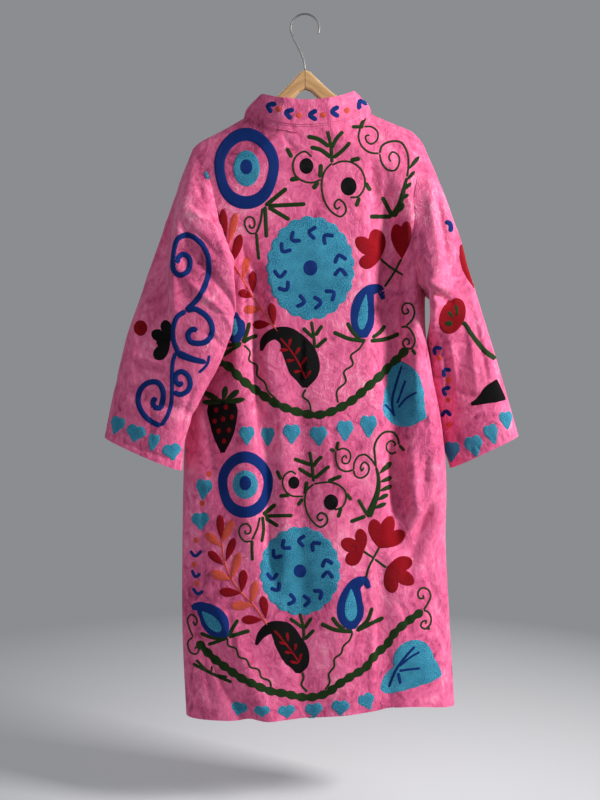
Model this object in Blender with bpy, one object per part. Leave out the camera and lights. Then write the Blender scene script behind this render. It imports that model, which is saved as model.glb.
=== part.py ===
# Long velvet jacket hung by its shoulders on a wooden hanger.
# Metres, +Z up. The back of the jacket faces -Y, and +X is the wearer's right.
# The origin is the inside top of the hanger's hook, where a nail or a rail holds it.

import math

import bmesh
import bpy
import numpy as np

# Cloth and seams
CLOTH = 0.0025  # velvet and its lining
SEAM_GAP = 0.00045  # between two pieces at a seam
TIP_EASE = 3.0  # the sleeve seam stands off further where it turns over the shoulder tip

# Jacket sizes, with heights measured down from the hook
UNDERARM_Z = -0.505
NECK_HALF_WIDTH = 0.114
NECK_DIP_BACK = 0.046  # centre of the neck seam below its side points
NECK_DIP_FRONT = 0.080
NECK_ROUNDNESS = 0.75
COLLAR_HEIGHT = 0.059
COLLAR_LEAN = 42.0  # mean degrees inwards at the sides of the neck, from none at its foot
COLLAR_SLUMP = 0.25  # share of its height lost at the sides
FRONT_GAP = 0.006  # the two fronts hang this far apart
HALF_FRONT = 0.266  # from a side seam to the centre front, round the section

# Hem, from the wearer's left side seam to the right
HEM_COLUMNS = ("x", "z")
HEM = [
    (-0.215, -1.254),
    (0.000, -1.243),
    (0.100, -1.233),
    (0.180, -1.226),
    (0.275, -1.237),
]

# Hanger: its arms fall away from the apex, and the right arm hangs a little high
APEX_Z = -0.095
APEX_ROUNDING = 0.012
NECK_DROP = 0.055
NECK_DROP_LENGTH = 0.055
ARM_SLOPE = 0.400
HANGER_TILT = 0.055
TIP_START, TIP_CURVE = 0.184, 20.0
ARM_LENGTH = 0.190
ARM_THICKNESS = 0.010
ARM_EDGE = 0.0045
ARM_DEPTH_MIDDLE = 0.036
ARM_DEPTH_END = 0.022
ARM_CLEARANCE = 0.0008

# Hook of bent wire
WIRE = 0.0036
HOOK_RADIUS = 0.024  # inside the bend
HOOK_TIP_ANGLE = -20.0
HOOK_BACK_ANGLE = 205.0

# Body sections, from the top down: the level, the middle of the section,
# half its width, and how far the back and the fronts stand out from the side seams.
BODY_COLUMNS = ("z", "middle_x", "half_width", "back", "front")
BODY = [
    (-0.090, 0.005, 0.235, 0.050, 0.042),
    (-0.250, 0.005, 0.235, 0.053, 0.044),
    (-0.380, 0.006, 0.224, 0.061, 0.047),
    (-0.505, 0.008, 0.207, 0.067, 0.050),
    (-0.640, 0.007, 0.216, 0.070, 0.051),
    (-0.710, 0.013, 0.226, 0.070, 0.052),
    (-0.800, 0.017, 0.234, 0.070, 0.052),
    (-0.950, 0.016, 0.236, 0.068, 0.051),
    (-1.100, 0.020, 0.240, 0.067, 0.050),
    (-1.275, 0.029, 0.241, 0.066, 0.050),
]
SECTION_POWER = 0.75  # below 1, a section is squarer than an ellipse
SHOULDER_ROLL = 0.090  # depth over which the cloth rounds over the hanger's arms

# Armhole seams: their distance from the middle of the section.
# The left sleeve is drawn across the back, so its seam swings inwards.
ARMHOLE_COLUMNS = ("z", "left_back", "right_back", "front")
ARMHOLE = [
    (-0.212, 0.207, 0.207, 0.207),
    (-0.245, 0.206, 0.207, 0.207),
    (-0.300, 0.175, 0.192, 0.197),
    (-0.360, 0.160, 0.186, 0.188),
    (-0.430, 0.138, 0.180, 0.184),
    (-0.456, 0.131, 0.180, 0.188),
    (-0.475, 0.148, 0.183, 0.193),
    (-0.490, 0.178, 0.191, 0.199),
    (-0.501, 0.198, 0.202, 0.206),
]

# Large folds of the body. "at" is measured round the section from the centre back,
# positive to the wearer's right. A height above 0 is a ridge, below 0 a trough.
FOLD_COLUMNS = ("top_at", "top_z", "low_at", "low_z", "half_width", "height")
BODY_FOLDS = [
    (-0.094, -0.470, -0.072, -1.010, 0.014, -0.013),  # long crease left of the middle
    (-0.128, -0.560, -0.112, -0.960, 0.020, 0.007),
    (-0.190, -0.640, -0.168, -0.850, 0.016, -0.010),  # slack below the left sleeve
    (-0.212, -1.040, -0.110, -1.290, 0.018, -0.012),  # drag line into the left hem
    (-0.165, -1.060, -0.070, -1.290, 0.020, 0.007),
    (0.128, -0.300, 0.152, -0.960, 0.022, -0.020),  # deep hollow beside the right sleeve
    (0.205, -0.600, 0.215, -0.900, 0.024, 0.010),  # roll down the right side
    (0.225, -0.840, 0.165, -0.990, 0.014, -0.012),
    (0.030, -0.700, 0.045, -1.290, 0.030, 0.006),
    (0.115, -0.950, 0.120, -1.290, 0.016, -0.007),
    (-0.020, -0.620, -0.030, -1.290, 0.018, -0.005),
    (0.345, -0.420, 0.335, -1.290, 0.024, -0.012),  # the fronts, towards the wall
    (0.400, -0.600, 0.420, -1.290, 0.026, 0.008),
    (-0.340, -0.430, -0.350, -1.290, 0.024, -0.011),
    (-0.410, -0.640, -0.425, -1.290, 0.026, 0.007),
]
FOLD_END = 0.080  # a fold dies out over this length

# Each sleeve near its armhole: the share of the length, then eight points round it,
# from its outer edge over the back, under the arm and up the front.
ROUND_COLUMNS = ("x", "y", "z")
LEFT_ROUNDS = {
    0.16: [
        (-0.2320, -0.006, -0.322),
        (-0.2050, -0.062, -0.352),
        (-0.1600, -0.087, -0.415),
        (-0.1240, -0.094, -0.490),
        (-0.2080, -0.045, -0.526),
        (-0.2300, 0.006, -0.492),
        (-0.2290, 0.036, -0.430),
        (-0.2300, 0.033, -0.366),
    ],
    0.30: [
        (-0.2580, -0.018, -0.408),
        (-0.2220, -0.068, -0.445),
        (-0.1680, -0.102, -0.492),
        (-0.1170, -0.106, -0.543),
        (-0.1780, -0.068, -0.565),
        (-0.2280, -0.020, -0.535),
        (-0.2450, 0.012, -0.480),
        (-0.2530, 0.010, -0.440),
    ],
    0.42: [
        (-0.2820, -0.025, -0.480),
        (-0.2500, -0.072, -0.503),
        (-0.1900, -0.108, -0.537),
        (-0.1270, -0.111, -0.577),
        (-0.1630, -0.080, -0.600),
        (-0.2170, -0.045, -0.585),
        (-0.2550, -0.018, -0.545),
        (-0.2740, -0.012, -0.510),
    ],
}
RIGHT_ROUNDS = {
    0.16: [
        (0.2480, 0.000, -0.318),
        (0.2350, -0.046, -0.350),
        (0.2180, -0.073, -0.420),
        (0.2080, -0.079, -0.490),
        (0.2330, -0.014, -0.524),
        (0.2330, 0.026, -0.508),
        (0.2310, 0.042, -0.440),
        (0.2380, 0.036, -0.362),
    ],
    0.30: [
        (0.2720, -0.001, -0.388),
        (0.2640, -0.050, -0.414),
        (0.2460, -0.074, -0.466),
        (0.2200, -0.079, -0.522),
        (0.2335, -0.004, -0.548),
        (0.2385, 0.028, -0.538),
        (0.2510, 0.034, -0.492),
        (0.2660, 0.026, -0.428),
    ],
}

# The rest of each sleeve, in sections: its outer edge, its inner edge, how far the
# middle of the section stands out towards the back and the front, and how far the
# middle of the front hangs below the line between the edges.
RING_COLUMNS = (
    "along",
    "outer_x",
    "outer_y",
    "outer_z",
    "inner_x",
    "inner_y",
    "inner_z",
    "back",
    "front",
    "front_drop",
)
LEFT_RINGS = [
    (0.55, -0.3030, -0.030, -0.556, -0.1450, -0.102, -0.625, 0.032, 0.020, 0.030),
    (0.70, -0.3230, -0.033, -0.632, -0.1790, -0.093, -0.690, 0.032, 0.020, 0.018),
    (0.85, -0.3380, -0.035, -0.700, -0.2060, -0.080, -0.756, 0.033, 0.026, 0.008),
    (1.00, -0.3500, -0.035, -0.757, -0.2130, -0.070, -0.814, 0.035, 0.032, 0.000),
]
RIGHT_RINGS = [
    (0.46, 0.3000, 0.000, -0.476, 0.2220, 0.012, -0.604, 0.056, 0.026, 0.008),
    (0.57, 0.3205, 0.000, -0.542, 0.2255, 0.020, -0.642, 0.048, 0.024, 0.004),
    (0.70, 0.3420, 0.000, -0.611, 0.2350, 0.034, -0.690, 0.040, 0.024, 0.000),
    (0.85, 0.3650, 0.000, -0.690, 0.2470, 0.032, -0.756, 0.040, 0.026, 0.000),
    (1.00, 0.3840, 0.000, -0.757, 0.2640, 0.018, -0.816, 0.037, 0.032, 0.000),
]
LEFT_TWIST = 60.0  # degrees the underarm seam turns towards the body
RIGHT_TWIST = 0.0

# Sleeve folds: the angle round the tube, 0 at the outer edge and 90 at the back,
# the share of the length, and how far each spreads.
SLEEVE_FOLD_COLUMNS = ("angle", "slant", "along", "spread", "length", "height")
LEFT_FOLDS = [
    (40.0, 0.0, 0.50, 14.0, 0.34, 0.007),  # ridge between the back and the outer face
    (84.0, 60.0, 0.26, 16.0, 0.08, -0.006),  # drag lines into the underarm
    (80.0, 60.0, 0.34, 16.0, 0.07, 0.005),
    (90.0, 0.0, 0.76, 60.0, 0.022, -0.005),  # crease across the forearm
]
RIGHT_FOLDS = [
    (40.0, 0.0, 0.45, 14.0, 0.30, 0.006),
    (118.0, 0.0, 0.27, 34.0, 0.07, 0.007),  # cloth bunched over the underarm
    (100.0, 30.0, 0.70, 22.0, 0.14, -0.005),
]

# How finely each piece is divided
NECK_ANGLES = (0, 10, 26, 46, 68, 90)  # round each half of the neck
BACK_SHOULDER_CELLS, FRONT_SHOULDER_CELLS = 6, 5
FIRST_ROW = 0.002  # below the shoulder seam, where the cloth rounds over the hanger
BODY_ROWS = 18  # below the underarm
SLEEVE_ROUND, SLEEVE_ROWS = 24, 18
COLLAR_ROWS = 5

# Finishes: colour, roughness and metallic value
VELVET = ((0.76, 0.16, 0.38, 1.0), 0.85, 0.0)
BAMBOO = ((0.52, 0.30, 0.13, 1.0), 0.45, 0.0)
STEEL = ((0.62, 0.62, 0.63, 1.0), 0.30, 1.0)


def column(table, columns, name):
    return np.array([row[columns.index(name)] for row in table])


def unit(vectors):
    return vectors / np.linalg.norm(vectors, axis=-1, keepdims=True)


def ease(t):
    t = np.clip(t, 0.0, 1.0)
    return t * t * (3 - 2 * t)


def smooth_curve(at, xs, ys):
    """A smooth curve through the points (xs, ys), which may run either way."""
    if xs[0] > xs[-1]:
        xs, ys = xs[::-1], ys[::-1]
    slopes = np.gradient(ys, xs, axis=0)
    at = np.clip(at, xs[0], xs[-1])
    i = np.clip(np.searchsorted(xs, at) - 1, 0, len(xs) - 2)
    span = xs[i + 1] - xs[i]
    t = (at - xs[i]) / span
    if ys.ndim > 1:
        shape = np.shape(at) + (1,) * (ys.ndim - 1)
        t, span = np.reshape(t, shape), np.reshape(span, shape)
    return (
        (2 * t**3 - 3 * t**2 + 1) * ys[i]
        + (t**3 - 2 * t**2 + t) * span * slopes[i]
        + (3 * t**2 - 2 * t**3) * ys[i + 1]
        + (t**3 - t**2) * span * slopes[i + 1]
    )


def closed_curve(turns, points):
    """A smooth closed curve through evenly turned points."""
    waves = np.fft.rfft(np.array(points), axis=0) / len(points)
    out = np.zeros((len(turns), 3))
    for k, wave in enumerate(waves):
        share = 1 if k in (0, len(points) // 2) else 2
        out += share * np.real(wave * np.exp(1j * k * turns[:, None]))
    return out


def shoulder_z(x):
    """Height of the cloth where it lies over the hanger's arms."""
    out = np.sqrt(x * x + APEX_ROUNDING**2) - APEX_ROUNDING
    fall = NECK_DROP * (1 - np.exp(-out / NECK_DROP_LENGTH)) + ARM_SLOPE * out
    tip = TIP_CURVE * np.maximum(np.abs(x) - TIP_START, 0) ** 2
    return APEX_Z - fall - tip + HANGER_TILT * x


def hem_z(x):
    return smooth_curve(x, column(HEM, HEM_COLUMNS, "x"), column(HEM, HEM_COLUMNS, "z"))


class Body:
    """The outer face of the jacket's body.

    A point is given by its share round the section and its level. The share is
    0 at the centre back, 1 at the right side seam, 2 at the centre front, and
    negative on the left.
    """

    LEVELS = np.linspace(-0.090, -1.275, 238)
    SHARES = np.linspace(-2.0, 2.0, 801)
    SEAMS = (0, 120, 240, 360, 480)  # centre front, sides and centre back, in the angles

    def __init__(self):
        z = self.LEVELS[:, None]
        angle = np.linspace(-math.pi, math.pi, 481)[None, :]
        middle, half, back, front = (
            smooth_curve(z, column(BODY, BODY_COLUMNS, "z"), column(BODY, BODY_COLUMNS, name))
            for name in BODY_COLUMNS[1:]
        )
        c, s = np.cos(angle), np.sin(angle)
        x = middle + half * np.sign(s) * np.abs(s) ** SECTION_POWER
        y = -np.where(c > 0, back, front) * np.sign(c) * np.abs(c) ** SECTION_POWER
        dx, dy = np.gradient(x, axis=1), np.gradient(y, axis=1)
        size = np.hypot(dx, dy)
        height = self.folds(self.around(x, y), z)
        x = x + height * dy / size
        y = (y - height * dx / size) * self.roll(x, z)
        around = self.around(x, y)
        self.x = np.empty((len(self.LEVELS), len(self.SHARES)))
        self.y = np.empty_like(self.x)
        for i, row in enumerate(around):
            at = np.interp(self.SHARES, (-2, -1, 0, 1, 2), row[list(self.SEAMS)])
            self.x[i] = np.interp(at, row, x[i])
            self.y[i] = np.interp(at, row, y[i])

    def around(self, x, y):
        steps = np.hypot(np.diff(x, axis=1), np.diff(y, axis=1))
        run = np.concatenate([np.zeros((len(x), 1)), np.cumsum(steps, axis=1)], axis=1)
        return run - run[:, self.SEAMS[2]][:, None]

    @staticmethod
    def folds(at, z):
        height = np.zeros(np.broadcast(at, z).shape)
        for top_at, top_z, low_at, low_z, half_width, tall in BODY_FOLDS:
            line = top_at + (low_at - top_at) * (z - top_z) / (low_z - top_z)
            fade = ease((top_z - z) / FOLD_END + 0.5) * ease((z - low_z) / FOLD_END + 0.5)
            height += tall * fade * np.exp(-(((at - line) / half_width) ** 2))
        return height

    @staticmethod
    def roll(x, z):
        """0 on the shoulder line, and 1 where the cloth hangs free of the arms."""
        return np.sqrt(np.clip((shoulder_z(x) - z) / SHOULDER_ROLL, 0.0, 1.0))

    def point(self, share, z):
        share, z = np.broadcast_arrays(np.asarray(share, float), np.asarray(z, float))
        row = (self.LEVELS[0] - z) / (self.LEVELS[0] - self.LEVELS[1])
        col = (share - self.SHARES[0]) / (self.SHARES[1] - self.SHARES[0])
        row = np.clip(row, 0, len(self.LEVELS) - 1.001)
        col = np.clip(col, 0, len(self.SHARES) - 1.001)
        i, j = row.astype(int), col.astype(int)
        a, b = row - i, col - j
        x, y = (
            (1 - a) * ((1 - b) * v[i, j] + b * v[i, j + 1])
            + a * ((1 - b) * v[i + 1, j] + b * v[i + 1, j + 1])
            for v in (self.x, self.y)
        )
        return np.stack([x, y, z], axis=-1)

    def normal(self, share, z):
        """Outward direction, taken over a few millimetres round a point."""
        depth = shoulder_z(self.point(share, z)[..., 0]) - z
        up = np.clip(depth / 2, 0.0002, 0.004)
        across = self.point(share + 0.02, z) - self.point(share - 0.02, z)
        return unit(np.cross(across, self.point(share, z + up) - self.point(share, z - 0.004)))

    def middle(self, z):
        return smooth_curve(
            z, column(BODY, BODY_COLUMNS, "z"), column(BODY, BODY_COLUMNS, "middle_x")
        )

    def share_at(self, distance, z, side, front):
        """The share where the back, or a front, is a distance from the middle."""
        shares = np.linspace(0, 1, 401) if not front else np.linspace(2, 1, 401)
        out = side * (self.point(side * shares, z)[:, 0] - self.middle(z))
        return side * np.interp(distance, np.maximum.accumulate(out), shares)


BODY_FORM = Body()


def armhole_table():
    """Share of each armhole seam against its level, worked out once."""
    levels = np.linspace(ARMHOLE[0][0], UNDERARM_Z, 70)
    table = {}
    for side, front, name in (
        (-1, False, "left_back"),
        (1, False, "right_back"),
        (-1, True, "front"),
        (1, True, "front"),
    ):
        known = column(ARMHOLE, ARMHOLE_COLUMNS, "z")
        out = smooth_curve(levels, known, column(ARMHOLE, ARMHOLE_COLUMNS, name))
        share = [BODY_FORM.share_at(d, z, side, front) for d, z in zip(out, levels)]
        share[-1] = side
        table[side, front] = levels[::-1], np.array(share)[::-1]
    return table


ARMHOLES = armhole_table()


def armhole_share(z, side, front=False):
    """Share of the armhole seam at a level, and of the side seam below the underarm."""
    return np.interp(z, *ARMHOLES[side, front])


def add_object(name, mesh, finish):
    colour, roughness, metallic = finish
    material = bpy.data.materials.new(name + "_finish")
    material.use_nodes = True
    shader = material.node_tree.nodes["Principled BSDF"]
    shader.inputs["Base Color"].default_value = colour
    shader.inputs["Roughness"].default_value = roughness
    shader.inputs["Metallic"].default_value = metallic
    mesh.materials.append(material)
    mesh.shade_smooth()
    mesh.set_sharp_from_angle(angle=math.radians(50))
    obj = bpy.data.objects.new(name, mesh)
    bpy.context.scene.collection.objects.link(obj)


def add_wall(name, outer, inner, finish, closed=False):
    """A wall between two grids of points, closed round its columns or open.

    Both faces are split along the same diagonals, so the wall never pinches.
    """
    rows, cols = outer.shape[:2]
    points = np.concatenate([outer.reshape(-1, 3), inner.reshape(-1, 3)])
    inside = rows * cols

    def at(r, c):
        return r * cols + c % cols

    faces = []
    for r in range(rows - 1):
        for c in range(cols if closed else cols - 1):
            a, b, d, e = at(r, c), at(r + 1, c), at(r + 1, c + 1), at(r, c + 1)
            if np.linalg.norm(points[a] - points[d]) < np.linalg.norm(points[b] - points[e]):
                split = [(a, b, d), (a, d, e)]
            else:
                split = [(a, b, e), (b, d, e)]
            faces += split
            faces += [tuple(k + inside for k in reversed(face)) for face in split]
    rim = [at(0, c) for c in range(cols)]
    hem = [at(rows - 1, c) for c in range(cols)]
    if closed:
        edges = [rim + rim[:1], (hem + hem[:1])[::-1]]
    else:
        left = [at(r, 0) for r in range(rows)]
        right = [at(r, cols - 1) for r in range(rows)]
        edges = [rim, hem[::-1], left[::-1], right]
    for edge in edges:
        for a, b in zip(edge, edge[1:]):
            faces.append((a, b, b + inside, a + inside))
    mesh = bpy.data.meshes.new(name)
    mesh.from_pydata(points.tolist(), [], faces)
    add_object(name, mesh, finish)


def grid_normals(grid, closed=False):
    """Outward directions of a grid whose rows run down and columns run to the right."""
    if closed:
        around = np.roll(grid, -1, axis=1) - np.roll(grid, 1, axis=1)
    else:
        around = np.gradient(grid, axis=1)
    return unit(np.cross(np.gradient(grid, axis=0), around))


# Body panels


def top_level(x):
    """Level of the shoulder seam at a distance x from the middle."""
    return shoulder_z(BODY_FORM.middle(-0.2) + x)


def armhole_levels(side):
    """Levels of the sleeve's points down one half of its armhole."""
    tip = top_level(side * ARMHOLE[0][1])
    down = np.arange(SLEEVE_ROUND // 2 + 1) * 2 / SLEEVE_ROUND
    return tip + (UNDERARM_Z - tip) * (1 - np.cos(math.pi * down)) / 2


def neck_level(x, dip):
    """Level of the neck seam: round, with its lowest point at the middle."""
    low = (top_level(-NECK_HALF_WIDTH) + top_level(NECK_HALF_WIDTH)) / 2 - dip
    corner = np.where(x < 0, top_level(-NECK_HALF_WIDTH), top_level(NECK_HALF_WIDTH))
    across = np.clip(np.abs(x) / NECK_HALF_WIDTH, 0, 1)
    return low + (corner - low) * (1 - (1 - across**2) ** NECK_ROUNDNESS)


def add_panel(name, facing, across, first, last, dip):
    """A body panel, whose columns start at the given distances from the middle.

    Each edge is a function that gives its share of the section at a level.
    The back faces -1 and a front faces 1 along Y.
    """
    at_seam = np.abs(across) > NECK_HALF_WIDTH - 1e-9
    top = np.where(at_seam, top_level(across), neck_level(across, dip))
    shares = np.array(
        [BODY_FORM.share_at(abs(x), z, 1 if x > 0 else -1, facing > 0) for x, z in zip(across, top)]
    )
    share = (shares - shares[0]) / (shares[-1] - shares[0])
    rows = []
    for end, edge, x in ((shares[0], first, across[0]), (shares[-1], last, across[-1])):
        levels = armhole_levels(1 if x > 0 else -1)
        levels = np.concatenate([[levels[0], levels[0] - FIRST_ROW], levels[1:]])
        levels = np.concatenate([levels, np.full(BODY_ROWS, UNDERARM_Z)])
        rows.append((levels, np.array([end] + [edge(z) for z in levels[1:]])))
    levels, across_share = (a[:, None] + (b - a)[:, None] * share for a, b in zip(*rows))
    # Above the underarm, rows turn from the line of the shoulder to a level line
    fade = (levels - UNDERARM_Z) / (levels[0] - UNDERARM_Z)
    levels = levels + fade * (top - levels[0])
    down = np.linspace(0, 1, BODY_ROWS + 1)[1:, None]
    hem = hem_z(BODY_FORM.point(across_share[-1], -1.24)[:, 0])
    levels[-BODY_ROWS:] = UNDERARM_Z + down * (hem - UNDERARM_Z)
    outer = BODY_FORM.point(across_share, levels)
    outer[0, at_seam, 1] = 0.0
    normal = BODY_FORM.normal(across_share, levels)
    normal[0, at_seam] = (0.0, 0.0, 1.0)
    inner = outer - CLOTH * normal
    for grid in (outer, inner):
        grid[..., 1] = facing * np.maximum(facing * grid[..., 1], SEAM_GAP / 2)
    add_wall(name, outer, inner, VELVET)
    return outer[0]


def back_panel():
    shoulder = np.linspace(-ARMHOLE[0][2], -NECK_HALF_WIDTH, BACK_SHOULDER_CELLS + 1)
    neck = -NECK_HALF_WIDTH * np.cos(np.radians(NECK_ANGLES[1:-1]))
    half = np.concatenate([shoulder, neck])
    across = np.concatenate([half, [0.0], -half[::-1]])

    def left(z):
        return armhole_share(z, -1)

    def right(z):
        return armhole_share(z, 1)

    top = add_panel("back_panel", -1, across, left, right, NECK_DIP_BACK)
    return top[BACK_SHOULDER_CELLS : len(across) - BACK_SHOULDER_CELLS]


def front_panel(side):
    shoulder = np.linspace(ARMHOLE[0][3], NECK_HALF_WIDTH, FRONT_SHOULDER_CELLS + 1)
    neck = NECK_HALF_WIDTH * np.cos(np.radians(NECK_ANGLES[1:]))
    across = side * np.concatenate([shoulder, np.maximum(neck, FRONT_GAP / 2)])

    def armhole(z):
        return armhole_share(z, side, True)

    def opening(z):
        return side * (2 - FRONT_GAP / 2 / HALF_FRONT)

    if side > 0:
        top = add_panel("front_panel_right", 1, across, armhole, opening, NECK_DIP_FRONT)
        return top[FRONT_SHOULDER_CELLS:]
    top = add_panel("front_panel_left", 1, across[::-1], opening, armhole, NECK_DIP_FRONT)
    return top[: len(NECK_ANGLES)]


# Sleeves


def armhole_loop(side):
    """The armhole from the shoulder tip down the back and up the front.

    The second result points from each seam point away from the body panels.
    """
    levels = armhole_levels(side)
    z = np.concatenate([levels, levels[-2:0:-1]])
    turn = np.arange(SLEEVE_ROUND) / SLEEVE_ROUND
    back = BODY_FORM.point(armhole_share(z, side), z)
    front = BODY_FORM.point(armhole_share(z, side, True), z)
    loop = np.where((turn <= 0.5)[:, None], back, front)
    loop[0] = (BODY_FORM.middle(-0.2) + side * ARMHOLE[0][1], 0.0, levels[0])
    along = np.roll(loop, -1, axis=0) - np.roll(loop, 1, axis=0)
    share = np.where(turn <= 0.5, armhole_share(z, side), armhole_share(z, side, True))
    out = BODY_FORM.normal(share, z)
    out[0] = (side * ARM_SLOPE, 0.0, 1.0)
    away = unit(np.cross(out, along)) * side
    gap = np.full((SLEEVE_ROUND, 1), SEAM_GAP)
    gap[[-1, 0, 1]] *= TIP_EASE
    return loop + gap * away, away


def tube_ring(row, turn, twist):
    """Points round one section of a sleeve."""
    _, ox, oy, oz, ix, iy, iz, back, front, front_drop = row
    outer, inner = np.array((ox, oy, oz)), np.array((ix, iy, iz))
    wide = (outer - inner) / 2
    down = np.array((0.18 * np.sign(ox), 0.0, -1.0))
    deep = unit(np.cross(down, wide))
    deep *= -np.sign(deep[1])
    turned = turn + math.radians(twist) * (1 - np.cos(turn)) / 2
    c, s = np.cos(turned), np.sin(turned)
    side_to_side = np.sign(c) * np.abs(c) ** 0.9
    depth = np.where(s > 0, back, front) * np.sign(s) * np.abs(s) ** 0.85
    ring = (outer + inner) / 2 + side_to_side[:, None] * wide + depth[:, None] * deep
    ring[:, 2] -= front_drop * np.maximum(-s, 0.0)
    return ring


def add_sleeve(name, side, rounds, rings, twist, folds):
    turn = np.arange(SLEEVE_ROUND) * 2 * math.pi / SLEEVE_ROUND
    loop, away = armhole_loop(side)
    known = np.array([0.0, *rounds] + [row[0] for row in rings])
    sections = [loop] + [closed_curve(turn, points) for points in rounds.values()]
    sections += [tube_ring(row, turn, twist) for row in rings]
    along = np.linspace(0.0, 1.0, SLEEVE_ROWS + 1)
    outer = smooth_curve(along, known, np.array(sections))
    if side > 0:
        outer, away, turn = outer[:, ::-1], away[::-1], turn[::-1]
    height = np.zeros(outer.shape[:2])
    for angle, slant, centre, spread, length, tall in folds:
        apart = np.degrees(turn)[None, :] - angle - slant * ((along - centre) / length)[:, None]
        apart = (apart + 180) % 360 - 180
        far = ((along - centre) / length)[:, None]
        height += tall * np.exp(-((apart / spread) ** 2) - far**2)
    outer = outer + (height * ease(along / 0.1)[:, None])[..., None] * grid_normals(outer, True)
    normal = grid_normals(outer, True)
    into_panel = np.maximum(np.sum(normal[0] * away, axis=-1, keepdims=True), 0.0)
    normal[0] = unit(normal[0] - into_panel * away)
    add_wall(name, outer, outer - CLOTH * normal, VELVET, closed=True)


def add_collar(neck):
    """A stand collar on the neck seam, from one front edge round the back to the other."""
    foot = neck + np.array([0.0, 0.0, 2 * SEAM_GAP])
    out = unit(np.cross(np.gradient(foot, axis=0), (0.0, 0.0, 1.0)))
    roll = np.maximum(2 * np.radians(COLLAR_LEAN) * np.abs(out[:, :1]) ** 1.5, 1e-3)
    height = COLLAR_HEIGHT * (1 - COLLAR_SLUMP * out[:, :1] ** 2)
    lift = np.linspace(1.0, 0.0, COLLAR_ROWS + 1)[:, None, None]
    up = np.sin(roll * lift) / roll * (0.0, 0.0, 1.0)
    inwards = (np.cos(roll * lift) - 1) / roll * np.sign(out[:, :1]) * (1.0, 0.0, 0.0)
    outer = foot + height * (up + inwards)
    face = grid_normals(outer)
    face[-1] = out
    add_wall("collar", outer, outer - CLOTH * face, VELVET)


# Hanger and hook


def add_hanger():
    """Two arms in one piece of wood, with rounded edges and ends."""
    x = np.linspace(-ARM_LENGTH, ARM_LENGTH, 41)
    slope = np.gradient(shoulder_z(x), x)
    top = shoulder_z(x) - CLOTH * np.hypot(1, slope) - ARM_CLEARANCE
    share = np.abs(x) / ARM_LENGTH
    depth = ARM_DEPTH_MIDDLE + (ARM_DEPTH_END - ARM_DEPTH_MIDDLE) * share
    end = np.clip((share - 0.93) / 0.07, 0, 1)
    top = top - depth * 0.35 * end**2
    low = top - depth * (1 - 0.25 * end**2)
    bm = bmesh.new()
    half = ARM_THICKNESS / 2
    upper = [bm.verts.new((a, -half, b)) for a, b in zip(x, top)]
    lower = [bm.verts.new((a, -half, b)) for a, b in zip(x, low)]
    bm.faces.new(upper + lower[::-1])
    made = bmesh.ops.extrude_face_region(bm, geom=bm.faces[:])
    moved = [v for v in made["geom"] if isinstance(v, bmesh.types.BMVert)]
    bmesh.ops.translate(bm, verts=moved, vec=(0.0, ARM_THICKNESS, 0.0))
    bmesh.ops.recalc_face_normals(bm, faces=bm.faces[:])
    rims = [e for e in bm.edges if abs(e.verts[0].co.y - e.verts[1].co.y) < 1e-6]
    bmesh.ops.bevel(
        bm,
        geom=rims,
        offset=ARM_EDGE,
        offset_type="OFFSET",
        segments=2,
        profile=0.5,
        affect="EDGES",
        clamp_overlap=True,
    )
    mesh = bpy.data.meshes.new("hanger")
    bm.to_mesh(mesh)
    bm.free()
    add_object("hanger", mesh, BAMBOO)


def add_hook():
    """Wire bent round the point that holds it, then down to the apex of the hanger."""
    radius = HOOK_RADIUS + WIRE / 2
    angles = np.radians(np.linspace(HOOK_TIP_ANGLE, HOOK_BACK_ANGLE, 24))
    bend = np.stack([radius * np.cos(angles), radius * np.sin(angles) - HOOK_RADIUS], axis=1)
    foot = np.array([0.0, shoulder_z(0.0) - CLOTH - ARM_CLEARANCE + SEAM_GAP])
    leave = unit(bend[-1] - bend[-2])
    handles = (bend[-1], bend[-1] + leave * 0.020, foot + (0.0, 0.024), foot)
    t = np.linspace(0, 1, 11)[1:, None]
    weights = ((1 - t) ** 3, 3 * t * (1 - t) ** 2, 3 * t * t * (1 - t), t**3)
    neck = sum(w * h for w, h in zip(weights, handles))
    path = np.concatenate([bend, neck])
    sides = 8
    along = unit(np.gradient(path, axis=0))
    bm = bmesh.new()
    rings = []
    for (x, z), (ax, az) in zip(path, along):
        ring = []
        for k in range(sides):
            turn = 2 * math.pi * k / sides
            out, across = WIRE / 2 * math.cos(turn), WIRE / 2 * math.sin(turn)
            ring.append(bm.verts.new((x - az * out, across, z + ax * out)))
        rings.append(ring)
    for a, b in zip(rings, rings[1:]):
        for k in range(sides):
            bm.faces.new((a[k], a[(k + 1) % sides], b[(k + 1) % sides], b[k]))
    bm.faces.new(rings[0])
    bm.faces.new(rings[-1][::-1])
    bmesh.ops.recalc_face_normals(bm, faces=bm.faces[:])
    mesh = bpy.data.meshes.new("hook")
    bm.to_mesh(mesh)
    bm.free()
    add_object("hook", mesh, STEEL)


def build():
    for old in list(bpy.data.objects):
        bpy.data.objects.remove(old)
    back_neck = back_panel()
    right_neck = front_panel(1)
    left_neck = front_panel(-1)
    add_sleeve("sleeve_left", -1, LEFT_ROUNDS, LEFT_RINGS, LEFT_TWIST, LEFT_FOLDS)
    add_sleeve("sleeve_right", 1, RIGHT_ROUNDS, RIGHT_RINGS, RIGHT_TWIST, RIGHT_FOLDS)
    add_collar(np.concatenate([left_neck[:-1], back_neck, right_neck[1:]]))
    add_hanger()
    add_hook()


build()
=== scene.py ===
# Long velvet jacket covered in chain-stitch flowers, hung on a bamboo hanger, seen from its back.
# Metres, +Z up. The back of the jacket faces -Y, and +X is the wearer's right.

import functools
import math

import bpy
import numpy as np
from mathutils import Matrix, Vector
from mathutils.bvhtree import BVHTree


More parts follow.
